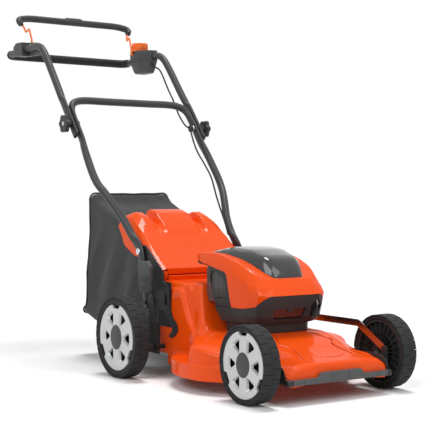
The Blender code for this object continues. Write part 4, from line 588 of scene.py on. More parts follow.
def makeWheel(end, sideName, side, axle, radius, capRadius, track, lugs):
    label = end + "_" + sideName
    body = "wheel_" + label

    def deep(depth):
        return side * (track - depth)

    wide = wheelSize["width"]
    base = radius - wheelSize["tread"]
    seat = capRadius + 0.0003
    half = [(seat, 0.005), (seat + 0.0015, 0.003), (base - 0.0075, 0.001), (base - 0.0045, 0.0018),
            (base - 0.0015, 0.0045), (base, 0.008)]
    profile = [(reach, deep(d)) for reach, d in half] + [(reach, deep(wide - d)) for reach, d in half[::-1]]
    tyre = shaped("tyreOf_" + label, tyreRubber, lathe, profile, "x", axle, 120)
    pitch = 2 * math.pi * radius / lugs
    lug = (pitch * 0.925, wide * 0.455, wheelSize["lugTall"])
    high = radius - lug[2] / 2 - 0.0007
    rows = []
    for offset, shift in ((wide * 0.245, 0.0), (wide * 0.755, 0.5)):
        rows.append(blocks("lugs", roundAxle, tyreRubber, Count=lugs, Reach=high,
                           Size=(lug[1], lug[0], lug[2]), Middle=(deep(offset), *axle),
                           Turn=(math.pi / 2, math.pi / 2 - math.pi * 2 * shift / lugs, math.pi / 2)))
    rows.append(blocks("midLine", roundAxle, tyreRubber, Count=90, Reach=base + 0.0006,
                       Size=(0.003, 2 * math.pi * base / 88, 0.0016), Middle=(deep(wide / 2), *axle),
                       Turn=acrossTurn))
    joined(tyre, *rows)
    bevelled(tyre, 0.0006, 2, 30.0)
    finished(tyre, body, ["tyre_" + label])

    # rim: outer bowl behind the cap, web and inner ribs
    barrel = capRadius - 0.0045
    bore, hub = wheelSize["bore"], wheelSize["hub"]
    profile = [(bore, 0.0105), (hub, 0.0105), (hub, 0.0205), (barrel, 0.0225), (barrel, 0.009),
               (capRadius, 0.009), (capRadius, wide - 0.004), (barrel, wide - 0.004), (barrel - 0.001, 0.026),
               (hub, 0.026), (hub - 0.001, wide - 0.001), (bore, wide - 0.001)]
    profile = [(reach, deep(d)) for reach, d in profile]
    rim = shaped("rimOf_" + label, darkPlastic, lathe, profile, "x", axle, 96)
    span = barrel - hub
    ribs = blocks("ribs", roundAxle, darkPlastic, Count=wheelSize["ribs"], Reach=hub + span / 2 - 0.001,
                  Size=(0.01, 0.0012, span - 0.001), Middle=(deep(0.031), *axle), Turn=acrossTurn)
    inner = hub + span * 0.45
    rings = blocks("ring", roundAxle, darkPlastic, Count=72, Reach=inner,
                   Size=(0.0085, 2 * math.pi * inner / 71, 0.0012), Middle=(deep(0.03), *axle),
                   Turn=acrossTurn)
    joined(rim, ribs, rings)
    finished(rim, body, ["rim_" + label])

    # silver cap: three notches in its edge, six windows with sloping sides
    r = capRadius - 0.0006
    notch = r * 0.87
    outline = []
    for third in range(3):
        middle = math.pi / 2 + third * 2 * math.pi / 3
        for offset, rr in ((-0.225, r * 0.995), (-0.205, notch + 0.0045), (-0.17, notch + 0.001),
                           (-0.08, notch), (0.08, notch), (0.17, notch + 0.001), (0.205, notch + 0.0045),
                           (0.225, r * 0.995)):
            outline.append((middle + offset, rr))
        steps = 26
        for k in range(steps + 1):
            outline.append((middle + 0.25 + k * (2 * math.pi / 3 - 0.5) / steps, r))
    disc = [polar(axle, rr, a) for a, rr in outline]
    cap = shaped("capOf_" + label, silverCap, prism, disc, "x", deep(0.0088), deep(0.003))
    bm = bmesh.new()
    near, far = r * wheelSize["windowNear"], r * wheelSize["windowFar"]
    for k in range(wheelSize["windows"]):
        middle = k * 2 * math.pi / wheelSize["windows"]
        rings = []
        for depth, near2, far2, half in ((0.001, near * 0.95, far * 1.03, 0.335),
                                         (0.004, near * 1.0, far, 0.3),
                                         (0.0095, near * 1.12, far * 0.93, 0.215)):
            window = []
            for offset, rr in ((-0.07, near2), (0.07, near2), (half * 0.95, far2 * 0.93),
                               (half * 0.86, far2 * 0.985), (half * 0.4, far2), (-half * 0.4, far2),
                               (-half * 0.86, far2 * 0.985), (-half * 0.95, far2 * 0.93)):
                window.append((deep(depth), *polar(axle, rr, middle + offset)))
            rings.append(window)
        skin(bm, rings)
    carveMesh(cap, bm)
    boss = r * wheelSize["boss"]
    wider = boss + 0.0005
    socket = [(axle[0] + wider * a, axle[1] + wider * b * 1.12) for a, b in circle(1.0, 64)]
    carve(cap, prism, socket, "x", deep(0.01), deep(0.001))
    bevelled(cap, 0.0008, 3, 32.0)
    finished(cap, body, ["hub_cap_" + label], 30.0)

    rings = []
    for share, depth in ((1.0, 0.0085), (1.0, 0.0036), (0.965, 0.0024), (0.9, 0.0019), (0.84, 0.0023),
                         (0.8, 0.0023), (0.74, 0.0016), (0.55, 0.0008), (0.3, 0.0004), (0.08, 0.0003)):
        rings.append([(deep(depth), axle[0] + share * boss * a, axle[1] + share * boss * b * 1.12)
                      for a, b in circle(1.0, 48)])
    finished(shaped("centreOf_" + label, greyPlastic, skin, rings), body, ["centre_cap_" + label],
             50.0)


for side, sideName in flanks:
    makeWheel("front", sideName, side, (0.0, 0.0861), 0.0861, 0.0734, 0.2154, 24)
    makeWheel("rear", sideName, side, (0.476, 0.1), 0.1, 0.0818, 0.2582, 28)
print("wheels made")


# deck

deckSize = {"shaftY": 0.21, "wall": 0.003, "skirt": 0.2215, "flangeZ": 0.064, "flangeStep": 0.006,
            "apronFront": -0.068, "apronHalf": 0.146, "apronEdge": 0.085, "archRear": 0.098,
            "archCorner": 0.17, "top": 0.13, "hood": 0.119, "ring": 0.107, "frontFall": 0.018,
            "houseHalf": 0.143, "houseTop": 0.236, "houseShoulder": 0.222}


# half widths and heights of the deck's cross section at each y

def ringHalf(y, radius):
    return math.sqrt(max(radius ** 2 - (y - deckSize["shaftY"]) ** 2, 0.0))


def rise(y, start, stop, power):
    return min(max((y - start) / (stop - start), 0.0), 1.0) ** power


def skirtHalf(y):
    d = deckSize
    if y < d["archRear"]:
        apron = d["apronHalf"] - 0.012 * (1 - min((y - d["apronFront"]) / 0.012, 1.0)) ** 2
        return max(apron, min(ringHalf(y, d["skirt"]), d["archCorner"]))
    if y < d["shaftY"] - 0.05:
        t = (y - d["archRear"]) / (d["shaftY"] - 0.05 - d["archRear"])
        full = ringHalf(d["shaftY"] - 0.05, d["skirt"])
        return d["archCorner"] + (full - d["archCorner"]) * t ** 0.7
    return max(ringHalf(y, d["skirt"]), d["houseHalf"])


def upperHalf(y):
    d = deckSize
    lower = skirtHalf(y) - 0.002 - (d["flangeStep"] - 0.002) * smooth((y - 0.045) / 0.05)
    drawn = d["houseHalf"] + (0.205 - d["houseHalf"]) * (1 - smooth((y - d["shaftY"] + 0.01) / 0.12))
    return max(min(lower, drawn), d["houseHalf"]) if y > d["shaftY"] else lower


def deckSection(y):
    d = deckSize
    skirt = skirtHalf(y)
    upper = upperHalf(y)
    bottom = readTable([(-0.03, 0.044), (0.04, 0.03), (0.405, 0.03), (0.406, 0.058)], y)
    front = d["apronFront"]
    slope = smooth((y - front) / (0.115 - front)) * 0.6 + 0.4 * min((y - front) / 0.183, 1.0)
    apron = d["apronEdge"] + (d["top"] - d["apronEdge"]) * slope
    shaft = d["shaftY"]
    climb = rise(y, shaft - 0.01, shaft + 0.133, 4)
    fall = d["frontFall"] * smooth((shaft - 0.02 - y) / 0.1)
    shoulder = d["ring"] - fall + (d["houseShoulder"] - d["ring"]) * rise(y, shaft - 0.01, shaft + 0.15, 4)
    edge = d["hood"] - fall * 0.8 + (d["houseTop"] - d["hood"]) * climb
    crown = d["top"] + (d["houseTop"] - d["top"]) * rise(y, 0.25, 0.31, 2)
    if y < 0.115:
        drop = 0.017 * smooth((0.02 - y) / 0.08)
        lip = d["apronEdge"] - 0.019 * (1 - min((y - front) / 0.008, 1.0)) ** 2
        crown = min(apron, lip + (y - front) * 2)
        shoulder = min(d["ring"] - fall, crown - 0.008 - drop * 0.3)
        edge = min(crown - 0.002 - 0.013 * smooth((y + 0.05) / 0.05), edge)
    flange = min(d["flangeZ"], shoulder - 0.016)
    top = min(readTable([(0.0, 0.118), (0.13, 0.14), (0.26, 0.142), (0.34, 0.131)], y), upper - 0.016)
    run = 0.012 + 0.02 * smooth((shaft + 0.03 - y) / 0.08)
    inner = top - run
    return [(skirt, bottom), (skirt, bottom + 0.004), (skirt, flange - 0.003), (skirt - 0.0004, flange),
            (upper, flange + 0.0045), (upper, flange + 0.008), (upper, shoulder - 0.01),
            (upper - 0.004, shoulder - 0.003), (upper - 0.012, shoulder + 0.001), (top, edge),
            (inner, crown - 0.001), (inner - 0.012, crown), (0.06, crown), (0.03, crown), (0.0, crown)]


def deckPlaces():
    # the fixed places along y, with one more in each wide gap
    fixed = [-0.068, -0.0672, -0.0655, -0.061, -0.05, -0.025, 0.01, 0.0434, 0.055, 0.068, 0.098, 0.107, 0.12,
             0.14, 0.16, 0.185, 0.21, 0.235, 0.25, 0.262, 0.272, 0.283, 0.296, 0.308, 0.32, 0.332, 0.343,
             0.36, 0.38, 0.4042, 0.4058, 0.43, 0.456, 0.458]
    places = []
    for a, b in zip(fixed, fixed[1:]):
        places.append(a)
        if b - a > 0.011:
            places.append((a + b) / 2)
    return places + [fixed[-1]]


deckRings = mirroredRings([(y, deckSection(y)) for y in deckPlaces()])
deck = shaped("deckShell", orangeDeck, skin, deckRings, False, True, False)
walled(deck, deckSize["wall"], False)
rounded(deck, 2)
plainMesh(deck)
deckReader = BVHTree.FromPolygons([v.co.copy() for v in deck.data.vertices],
                                  [tuple(p.vertices) for p in deck.data.polygons])


def onDeck(x, y):
    hit = deckReader.ray_cast(Vector((x, y - frameShift, 0.5)), Vector((0, 0, -1)))
    return hit[0].z


# floor of the grass tunnel, the upstand under the flap's hinge and the hinge's ears
bm = bmesh.new()
house = deckSize["houseHalf"]
prism(bm, [(0.45, 0.233), (0.4575, 0.233), (0.4575, 0.247), (0.456, 0.248), (0.4515, 0.248), (0.45, 0.2465)],
      "x", -0.118, 0.118)
prism(bm, [(0.414, 0.032), (0.417, 0.032), (0.417, 0.088), (0.457, 0.088), (0.457, 0.091), (0.414, 0.091)],
      "x", 0.0015 - house, house - 0.0015)
tunnel = objectFrom("tunnelFloor", bm, orangeDeck)
bm = bmesh.new()
for side in (1, -1):
    ear = [(0.4545, 0.2345), (0.457, 0.2345), (0.4655, 0.2545), (0.464, 0.2585), (0.46, 0.26),
           (0.456, 0.2585), (0.4545, 0.2545)]
    prism(bm, ear, "x", side * 0.1183, side * 0.1283)
ears = objectFrom("hingeEars", bm, orangeDeck)
bevelled(ears, 0.0008)
plainMesh(ears)
joined(deck, tunnel, ears)
finished(deck, "chassis", ["deck"], 40.0)


def ridge(name, plan, width, height, material):
    # a raised bead that follows the deck's surface
    line = curveThrough([(x, y, 0.0) for x, y in plan], 0.006)
    path = [Vector((p.x, p.y, onDeck(p.x, p.y) - height * 0.15)) for p in line]
    count = len(path)
    sections = []
    for i in range(count):
        fade = min(smooth(i / 4), smooth((count - 1 - i) / 4)) * 0.85 + 0.15
        sections.append((width * fade, height * fade))
    return shaped(name, material, sweep, path, sections, 10)


hoodLine = [(0.0515, 0.1148), (0.0635, 0.0841), (0.0787, 0.0571), (0.0771, 0.0431), (0.064, 0.0273),
            (0.069, -0.0016), (0.078, -0.0278), (0.08, -0.042)]
# a thin dark red strip inboard of each bead paints the shade in its groove
grooveShadeLine = [(x - 0.0052, y) for x, y in hoodLine]
for label, line, width, tall, material in (("hoodBead", hoodLine, 0.004, 0.0026, orangeDeck),
                                           ("hoodGrooveShade", grooveShadeLine, 0.0014, 0.0006, grooveShadeRed)):
    near = ridge(label, line, width, tall, material)
    far = ridge(label, [(-x, y) for x, y in line], width, tall, material)
    finished(joined(near, far), "chassis", (), 60.0)
stud = {"middle": (-0.029, -0.046), "steps": ((0.0062, -0.0006), (0.0055, 0.0004), (0.004, 0.0013),
                                              (0.002, 0.0018), (0.0003, 0.0019))}
rings = []
for reach, lift in stud["steps"]:
    rings.append([(x, y, onDeck(x, y) + lift) for x, y in circle(reach, 24, stud["middle"])])
finished(shaped("apronStud", orangeDeck, skin, rings), "chassis", (), 60.0)

# bare oval pad
pad = {"middle": (0.0135, -0.004), "half": (0.044, 0.03), "tall": 0.0011}
rings = []
tall = pad["tall"]
for share, lift in ((1.0, -0.0015), (1.0, 0.0004), (0.985, tall * 0.8), (0.95, tall), (0.9, tall * 0.55),
                    (0.6, tall * 0.5), (0.3, tall * 0.5), (0.04, tall * 0.5)):
    ring = []
    for a, b in circle(1.0, 56):
        x = pad["middle"][0] + pad["half"][0] * share * math.copysign(abs(a) ** 0.75, a)
        y = pad["middle"][1] + pad["half"][1] * share * math.copysign(abs(b) ** 0.75, b)
        ring.append((x, y, onDeck(x, y) + lift))
    rings.append(ring)
finished(shaped("plainPad", orangeDeck, skin, rings), "chassis", (), 40.0)
print("deck made")


# bumper

bumper = {"deep": 0.0085, "half": 0.134, "bottom": 0.0435, "endTop": 0.0555, "midTop": 0.0665,
          "midHalf": 0.055}
back = deckSize["apronFront"] - 0.0003
half = [(bumper["half"], bumper["bottom"]), (bumper["half"], bumper["endTop"]),
        (bumper["midHalf"] + 0.01, bumper["endTop"]), (bumper["midHalf"], bumper["midTop"])]
outline = half + [(-x, z) for x, z in reversed(half)]
strip = shaped("bumperStrip", bumperPlastic, prism, outline, "y", back - bumper["deep"], back)
bm = bmesh.new()
for x in (-0.0275, 0.02, 0.0675, -0.075, -0.105, 0.105):
    prism(bm, [(x - 0.0006, 0.04), (x + 0.0006, 0.04), (x + 0.0006, 0.07), (x - 0.0006, 0.07)], "y",
          back - bumper["deep"] - 0.002, back - bumper["deep"] + 0.0012)
carveMesh(strip, bm)
bevelled(strip, 0.0018, 3, 40.0)
finished(strip, "chassis", ["front_bumper"], 40.0)
# dark liners in the wheel arches, and the dark block at each end of the bumper
liner = [(-0.064, 0.0455), (-0.064, 0.062), (-0.058, 0.076), (-0.048, 0.084), (-0.034, 0.088), (0.015, 0.089),
         (0.04, 0.083), (0.056, 0.07), (0.06, 0.05), (0.06, 0.032), (0.03, 0.034), (-0.02, 0.044)]
for side, label in flanks:
    bm = bmesh.new()
    prism(bm, liner, "x", side * 0.1455, side * 0.1472)
    prism(bm, [(-0.0755, 0.0425), (-0.0755, 0.054), (-0.069, 0.056), (-0.06, 0.056), (-0.06, 0.0425)], "x",
          side * 0.1345, side * 0.1472)
    arch = objectFrom("archLiner_" + label, bm, darkPlastic)
    bevelled(arch, 0.0008, 2, 40.0)
    finished(arch, "chassis", (), 40.0)


# motor cover, belt, side vents and pedestal

cover = {"bottom": 0.156, "wall": 0.0028, "beltFront": 0.219, "beltCorner": 0.194, "beltSide": 0.187,
         "ventFront": 0.192, "ventRear": 0.306, "ventTop": 0.27,
         "levels": [(0.0, 0.11, 0.262, 0.101), (0.13, 0.1, 0.276, 0.107), (0.36, 0.092, 0.293, 0.109),
                    (0.67, 0.082, 0.308, 0.109), (0.8, 0.09, 0.316, 0.107), (0.85, 0.094, 0.358, 0.106),
                    (1.0, 0.108, 0.374, 0.099)]}


def coverEdge(y):
    return readTable([(0.085, 0.25), (0.113, 0.256), (0.15, 0.278), (0.2, 0.297), (0.26, 0.309),
                      (0.313, 0.311), (0.37, 0.303)], y)


def coverPlan(front, rear, half):
    extra = 2
    shares = [(0.0, 0.0), (0.42, 0.002), (0.62, 0.008), (0.78, 0.04), (0.877, 0.085), (0.955, 0.2),
              (1.0, 0.4), (1.0, 0.74), (0.985, 0.88), (0.91, 0.965), (0.64, 0.992), (0.0, 1.0)]
    dense = []
    for first, second in zip(shares, shares[1:]):
        dense += [between(first, second, k / extra) for k in range(extra)]
    dense.append(shares[-1])
    return wholePlan([(half * across, front + (rear - front) * backward) for across, backward in dense])


def coverRings(shrink=0.0):
    rings = []
    for level, front, rear, half in cover["levels"]:
        plan = coverPlan(front + shrink, rear - shrink, half - shrink)
        rings.append([(x, y, cover["bottom"] + level * (coverEdge(y) - cover["bottom"]) - shrink * level)
                      for x, y in plan])
    middle = 0.225
    top = cover["levels"][-1][1:]
    for inset, lift in ((0.965, 0.0012), (0.9, 0.0008), (0.55, 0.001), (0.15, 0.001)):
        plan = coverPlan(top[0] + shrink, top[1] - shrink, top[2] - shrink)
        rings.append([(x * inset, middle + (y - middle) * inset,
                       coverEdge(middle + (y - middle) * inset) + lift - shrink) for x, y in plan])
    return rings


def coverShell(name, material, wall, shrink=0.0):
    obj = objectFrom(name, facetted(coverRings(shrink), False), material)
    walled(obj, wall)
    plainMesh(obj)
    return obj


def beltLine(offset):
    c = cover
    return [(0.06, c["beltFront"] + 0.001 + offset), (0.086, c["beltFront"] + offset),
            (0.113, c["beltCorner"] + offset), (0.15, c["beltSide"] + 0.001 + offset),
            (0.42, c["beltSide"] + offset)]


def ventOutline(grow):
    c = cover
    low = c["beltSide"] - grow if grow < 0 else c["beltSide"] - 0.004
    rear = 0.34
    front, top = c["ventFront"], c["ventTop"]
    return [(front - grow - 0.2 * (c["beltSide"] - low), low), (rear, low), (rear, top + 0.012 + grow),
            (c["ventRear"], top + 0.014 + grow), (front + 0.032, top + grow),
            (front + 0.024 - grow, top - 0.004 + grow), (front + 0.017 - grow, top - 0.014 + grow)]


shell = coverShell("motorShell", orangeShell, cover["wall"])
carve(shell, prism, beltLine(0.0003) + [(0.42, 0.1), (0.06, 0.1)], "x", -0.2, 0.2)
for side in (1, -1):
    carve(shell, prism, ventOutline(0.0), "x", side * 0.078, side * 0.2)
carve(shell, prism, [(0.14, 0.23), (0.272, 0.23), (0.272, 0.36), (0.14, 0.36)], "x", -0.05, 0.05)
# dark lining under the rear wings
wing = [(0.3165, 0.262), (0.39, 0.262), (0.39, 0.2915), (0.345, 0.2905), (0.3165, 0.2865)]
carve(shell, prism, wing, "x", -0.2, 0.2)
lining = coverShell("wingLining", darkPlastic, cover["wall"])
carve(lining, prism, [(y + 0.0003, z - 0.0003) for y, z in wing], "x", -0.2, 0.2, operation="INTERSECT")
finished(lining, "chassis", (), 30.0)
bevelled(shell, 0.0012, 3, 28.0)
finished(shell, "chassis", ["motor_cover"], 14.0)

belt = coverShell("darkBelt", beltPlastic, cover["wall"])
carve(belt, prism, beltLine(-0.0003) + [(0.42, 0.4), (0.06, 0.4)], "x", -0.2, 0.2)
carve(belt, prism, [(0.1915, 0.1866), (0.345, 0.1866), (0.345, 0.3), (0.1915, 0.3)], "x", -0.15, 0.15)
# the long front recess with its middle tab, and the triangle in the far corner
recesses = [[(-0.06, 0.187), (-0.02, 0.188), (-0.016, 0.18), (-0.002, 0.18), (0.002, 0.188), (0.036, 0.188),
             (0.03, 0.164), (-0.052, 0.164)],
            [(0.05, 0.193), (0.066, 0.212), (0.086, 0.193), (0.078, 0.166), (0.052, 0.166)]]
for outline in recesses:
    carve(belt, prism, outline, "y", 0.06, 0.135)
backs = []
for outline in recesses:
    behind = coverShell("beltRecess", glossBlack, 0.001, 0.0034)
    middle = (sum(x for x, z in outline) / len(outline), sum(z for x, z in outline) / len(outline))
    larger = [(middle[0] + (x - middle[0]) * 1.06, middle[1] + (z - middle[1]) * 1.12) for x, z in outline]
    carve(behind, prism, larger, "y", 0.06, 0.135, operation="INTERSECT")
    backs.append(behind)
wedge = [(0.056, 0.1665), (0.0665, 0.193), (0.076, 0.1665)]
wedge = shaped("beltWedge", beltPlastic, prism, wedge, "y", 0.0905, 0.112)
bevelled(belt, 0.0012, 2, 28.0)
plainMesh(belt)
joined(belt, wedge)
recess = joined(backs[0], backs[1])
finished(recess, "chassis", (), 18.0)
finished(belt, "chassis", ["cover_belt"], 18.0)

for side, label in flanks:
    frameOf = coverShell("ventFrame_" + label, beltPlastic, 0.0026, 0.0008)
    carve(frameOf, prism, ventOutline(-0.0003), "x", side * 0.0783, side * 0.2, operation="INTERSECT")
    window = [(0.208, 0.2075), (0.276, 0.205), (0.28, 0.256), (0.274, 0.27), (0.24, 0.262), (0.224, 0.25)]
    carve(frameOf, prism, window, "x", side * 0.085, side * 0.2)
    bevelled(frameOf, 0.001, 2, 28.0)
    finished(frameOf, "chassis", ["side_vent_" + label], 30.0)
    # grille of upright slats set back in the window
    slats = blocks("ventSlats_" + label, inRow, ventPanel, Count=13, Size=(0.0016, 0.0034, 0.066),
                   Start=(side * 0.102, 0.212, 0.237), Step=(0.0, 0.0054, 0.0))
    plate = [(0.212, 0.198), (0.304, 0.195), (0.305, 0.275), (0.296, 0.276), (0.24, 0.265), (0.22, 0.25)]
    plate = shaped("ventPlate", ventPanel, prism, plate, "x", side * 0.0985, side * 0.1008)
    joined(slats, plate)
    bm = bmesh.new()
    bm.from_mesh(slats.data)
    bmesh.ops.recalc_face_normals(bm, faces=bm.faces)
    bm.to_mesh(slats.data)
    bm.free()
    bevelled(slats, 0.0006, 2, 40.0)
    finished(slats, "chassis", (), 30.0)

pedestal = {"low": 0.1303, "high": 0.1557, "rear": 0.248}
half = [(0.0, 0.121), (0.0575, 0.123), (0.07, 0.13), (0.078, 0.142), (0.088, 0.155), (0.092, 0.168),
        (0.092, pedestal["rear"] - 0.012), (0.08, pedestal["rear"]), (0.0, pedestal["rear"])]
ledge = [(0.0, 0.1115), (0.064, 0.1125), (0.079, 0.119), (0.088, 0.13), (0.096, 0.146), (0.1005, 0.165),
         (0.1005, pedestal["rear"]), (0.086, pedestal["rear"] + 0.0125), (0.0, pedestal["rear"] + 0.0125)]
foot, rim = wholePlan(half), wholePlan(ledge)
high = pedestal["high"]
rings = [[(x * 0.985, y, pedestal["low"]) for x, y in foot], [(x, y, high - 0.006) for x, y in foot],
         [(x, y, high - 0.002) for x, y in rim], [(x, y, high) for x, y in rim]]
stand = shaped("motorStand", darkPlastic, skin, rings, True, False)
walled(stand, 0.003)
plainMesh(stand)
bevelled(stand, 0.001, 2, 35.0)
finished(stand, "chassis", ["motor_pedestal"], 30.0)
print("cover made")


# battery lid

lid = {"front": 0.113, "rear": 0.316, "wall": 0.0025, "sink": 0.003}


def lidSections(inset=0.0):
    rows = []
    table = ((lid["front"], 0.043, 0.004), (0.1165, 0.0455, 0.012), (0.124, 0.05, 0.022),
             (0.137, 0.056, 0.0295), (0.15, 0.06, 0.03), (0.175, 0.066, 0.0275), (0.2, 0.07, 0.025),
             (0.23, 0.074, 0.022), (0.26, 0.077, 0.018), (0.29, 0.08, 0.0125), (0.313, 0.081, 0.0075),
             (lid["rear"], 0.081, 0.006))
    dense = []
    for (y0, h0, l0), (y1, h1, l1) in zip(table, table[1:]):
        dense += [(y0, h0, l0), ((y0 + y1) / 2, (h0 + h1) / 2 + 0.0002, (l0 + l1) / 2 + 0.0003)]
    dense.append(table[-1])
    for y, half, lift in dense:
        y = min(max(y, lid["front"] + inset), lid["rear"] - inset)
        half -= inset
        lift = max(lift - inset, 0.001)
        base = coverEdge(y) + 0.001 - lid["sink"] - inset * 2
        lift += inset * 2
        rows.append((y, [(half, base), (half - 0.001, base + 0.12 * lift),
                         (half - 0.0035, base + 0.38 * lift), (half * 0.86, base + 0.74 * lift),
                         (half * 0.72, base + 0.955 * lift), (half * 0.66, base + 1.0 * lift),
                         (half * 0.35, base + lift + 0.001), (0.0, base + lift + 0.0015)]))
    return rows


lidShell = objectFrom("lidShell", facetted(mirroredRings(lidSections())), glossBlack)
# the hollow, without the sections that its inset brings to one place
inner = lidSections(lid["wall"])
last = len(inner) - 1
inner = [row for n, row in enumerate(inner)
         if n in (0, last) or inner[n - 1][0] < row[0] < inner[last][0]]
carveMesh(lidShell, facetted(mirroredRings(inner)))
carveMesh(lidShell, facetted(coverRings(-0.0003)))
bevelled(lidShell, 0.0012, 2, 24.0)
finished(lidShell, "battery_lid", ["battery_lid"], 24.0)
print("lid made")


# rear flap

flap = {"half": 0.137, "wall": 0.0025, "hingeY": 0.46, "hingeZ": 0.2545, "knuckle": 0.0055}


def flapValley(y):
    return readTable([(0.454, 0.265), (0.48, 0.284), (0.51, 0.306), (0.535, 0.326), (0.56, 0.347),
                      (0.59, 0.364), (0.62, 0.376), (0.645, 0.384), (0.672, 0.388)], y)


def flapSection(y):
    base = flapValley(y)
    side = 0.02 * min(max((y - 0.566) / 0.042, 0.0), 1.0) * (1 - 0.45 * smooth((y - 0.645) / 0.027))
    middle = 0.025 * min(max((y - 0.558) / 0.064, 0.0), 1.0) * (1 - 0.3 * smooth((y - 0.662) / 0.01))
    skirt = readTable([(0.47, base - 0.006), (0.505, 0.278), (0.54, 0.286), (0.59, 0.293), (0.642, 0.318),
                       (0.656, 0.345), (0.672, 0.365)], y)
    fall = 0.006 + 0.012 * smooth((y - 0.5) / 0.1)
    h = flap["half"]
    return [(h, min(skirt, base - 0.004)), (h, base - fall - 0.002), (h - 0.0005, base - fall),
            (h - 0.006, base - fall * 0.45), (0.124, base + side * 0.35), (0.103, base + side * 0.98),
            (0.1, base + side), (0.083, base + side * 0.98), (0.0805, base + side * 0.94),
            (0.0735, base + side * 0.05), (0.071, base), (0.061, base), (0.0575, base + middle * 0.05),
            (0.0495, base + middle * 0.94), (0.0465, base + middle * 0.99), (0.02, base + middle),
            (0.0, base + middle)]


places = [0.454, 0.456, 0.46, 0.466, 0.482, 0.495, 0.505, 0.52, 0.535, 0.545, 0.552, 0.5575, 0.5585, 0.5655,
          0.5665, 0.577, 0.588, 0.599, 0.6075, 0.6085, 0.615, 0.6215, 0.6225, 0.635, 0.645, 0.653, 0.66,
          0.666, 0.6705, 0.672]
flapRings = mirroredRings([(y, flapSection(y)) for y in places])
flapShell = shaped("flapShell", orangeShell, skin, flapRings, False, False, False)
bevelled(flapShell, 0.0005, 2, 14.0)
walled(flapShell, flap["wall"])
plainMesh(flapShell)
y0, z0, r = flap["hingeY"], flap["hingeZ"], flap["knuckle"]
knuckle = [(y0 - r, z0)] + [polar((y0, z0), r, math.pi + math.pi * k / 10) for k in range(1, 11)]
knuckle += [(y0 + r, z0 + 0.012), (y0 - r, z0 + 0.0105)]
hinge = shaped("flapKnuckle", orangeShell, prism, knuckle, "x", -0.118, 0.118)
joined(flapShell, hinge)
finished(flapShell, "rear_flap", ["rear_flap"], 13.0)
print("flap made")


# grass bag

bag = {"half": 0.128, "rear": 0.87, "top": 0.455, "front": 0.4583, "lean": 0.018, "cloth": 0.0016}


def bagRing(y, low, high, half, corner, sides=14):
    points = []
    spots = ((half - corner, high - corner, 0.0), (-half + corner, high - corner, 90.0),
             (-half + corner, low + corner, 180.0), (half - corner, low + corner, 270.0))
    arcs = []
    for cx, cz, start in spots:
        bend = [polar((cx, cz), corner, math.radians(start + 22.5 * k)) for k in range(5)]
        arcs.append([(x, y, z) for x, z in bend])
    for arc, following in zip(arcs, arcs[1:] + arcs[:1]):
        points += arc
        a, b = Vector(arc[-1]), Vector(following[0])
        points += [tuple(a.lerp(b, k / sides)) for k in range(1, sides)]
    return points


def folded(point, share):
    # sag between the seams and long upright folds, strongest at the middle of each wall
    x, y, z = point
    low, high = 0.1, readTable([(0.46, 0.23), (0.56, 0.32), (0.68, 0.374), (0.815, 0.43), (0.88, 0.455)], y)
    up = min(max((z - low) / (high - low), 0.0), 1.0)
    wall = smooth((abs(x) - bag["half"] + 0.02) / 0.015)
    sag = 0.0065 * math.sin(math.pi * up) * share * wall
    wave = 0.0044 * math.sin((y + (z - 0.1) * 0.58) * 2 * math.pi / 0.12 + 0.8 * math.sin(z * 17.0))
    wave += 0.0019 * math.sin((y + z * 0.75) * 2 * math.pi / 0.051 + 1.7)
    inward = sag + wave * math.sin(math.pi * min(up * 1.1, 1.0)) * wall * share
    x -= math.copysign(inward, x)
    roof = smooth((z - high + 0.02) / 0.012) * (1 - smooth((abs(x) - bag["half"] + 0.03) / 0.02))
    z -= roof * share * (0.006 * math.cos(x / bag["half"] * math.pi / 2)
                         + 0.0012 * math.sin(x * 95.0 + y * 30.0))
    return (x, y, z)


back = bag["front"] + 0.0073
sections = [(back, 0.0945, 0.229, bag["half"], 0.012), (0.5, 0.092, 0.262, bag["half"], 0.014),
            (0.56, 0.09, 0.32, bag["half"], 0.016), (0.62, 0.0885, 0.352, bag["half"], 0.018),
            (0.68, 0.088, 0.374, bag["half"], 0.018), (0.75, 0.09, 0.404, bag["half"], 0.018),
            (0.815, 0.0935, 0.43, bag["half"], 0.018)]
rings = []
for first, second in zip(sections, sections[1:]):
    count = max(2, int((second[0] - first[0]) / 0.012))
    for k in range(count):
        t = k / count
        mixed = between(first, second, t)
        share = smooth((mixed[0] - 0.47) / 0.06)
        rings.append([folded(p, share) for p in bagRing(*mixed)])


def bagTailPoint(x, y, z, swell=0.0, shift=0.0):
    y += 0.03 * (0.15 - z) / 0.05 if z < 0.15 else -bag["lean"] * smooth((z - 0.2) / 0.22)
    upright = math.sin(math.pi * min(max((z - 0.14) / 0.29, 0.0), 1.0))
    y += shift - swell * upright * max(0.0, 1 - abs(x / bag["half"]) ** 4)
    return (x, y, z + (0.016 if z < 0.13 else 0.0) * smooth((0.14 - z) / 0.03))


rear = [bag["rear"], 0.1, bag["top"], bag["half"], 0.018]
tail = []
for t in (0.0, 0.2, 0.4, 0.6, 0.8, 1.0):
    ring = []
    for p in bagRing(*between(sections[-1], rear, t)):
        q = Vector(p).lerp(Vector(bagTailPoint(*p)), smooth(t))
        ring.append(folded(tuple(q), 1.0 - 0.55 * t))
    tail.append(ring)
rings += tail
for inset, swell, shift in ((0.012, 0.004, 0.0105), (0.03, 0.008, 0.012), (0.06, 0.011, 0.012),
                            (0.095, 0.012, 0.012), (0.122, 0.012, 0.012)):
    ring = []
    for x, y, z in bagRing(*rear):
        shareX = 1 - inset / bag["half"]
        shareZ = 1 - inset / 0.178
        q = (x * shareX, y, 0.2775 + (z - 0.2775) * shareZ)
        base = Vector(bagTailPoint(*q, swell, shift))
        base.y += 0.0014 * math.sin(base.x * 90.0 + base.z * 14.0)
        ring.append(tuple(base))
    rings.append(ring)
bagShell = shaped("bagCloth", bagCloth, skin, rings, True, False, True)
walled(bagShell, bag["cloth"])
plainMesh(bagShell)
rounded(bagShell, 1)
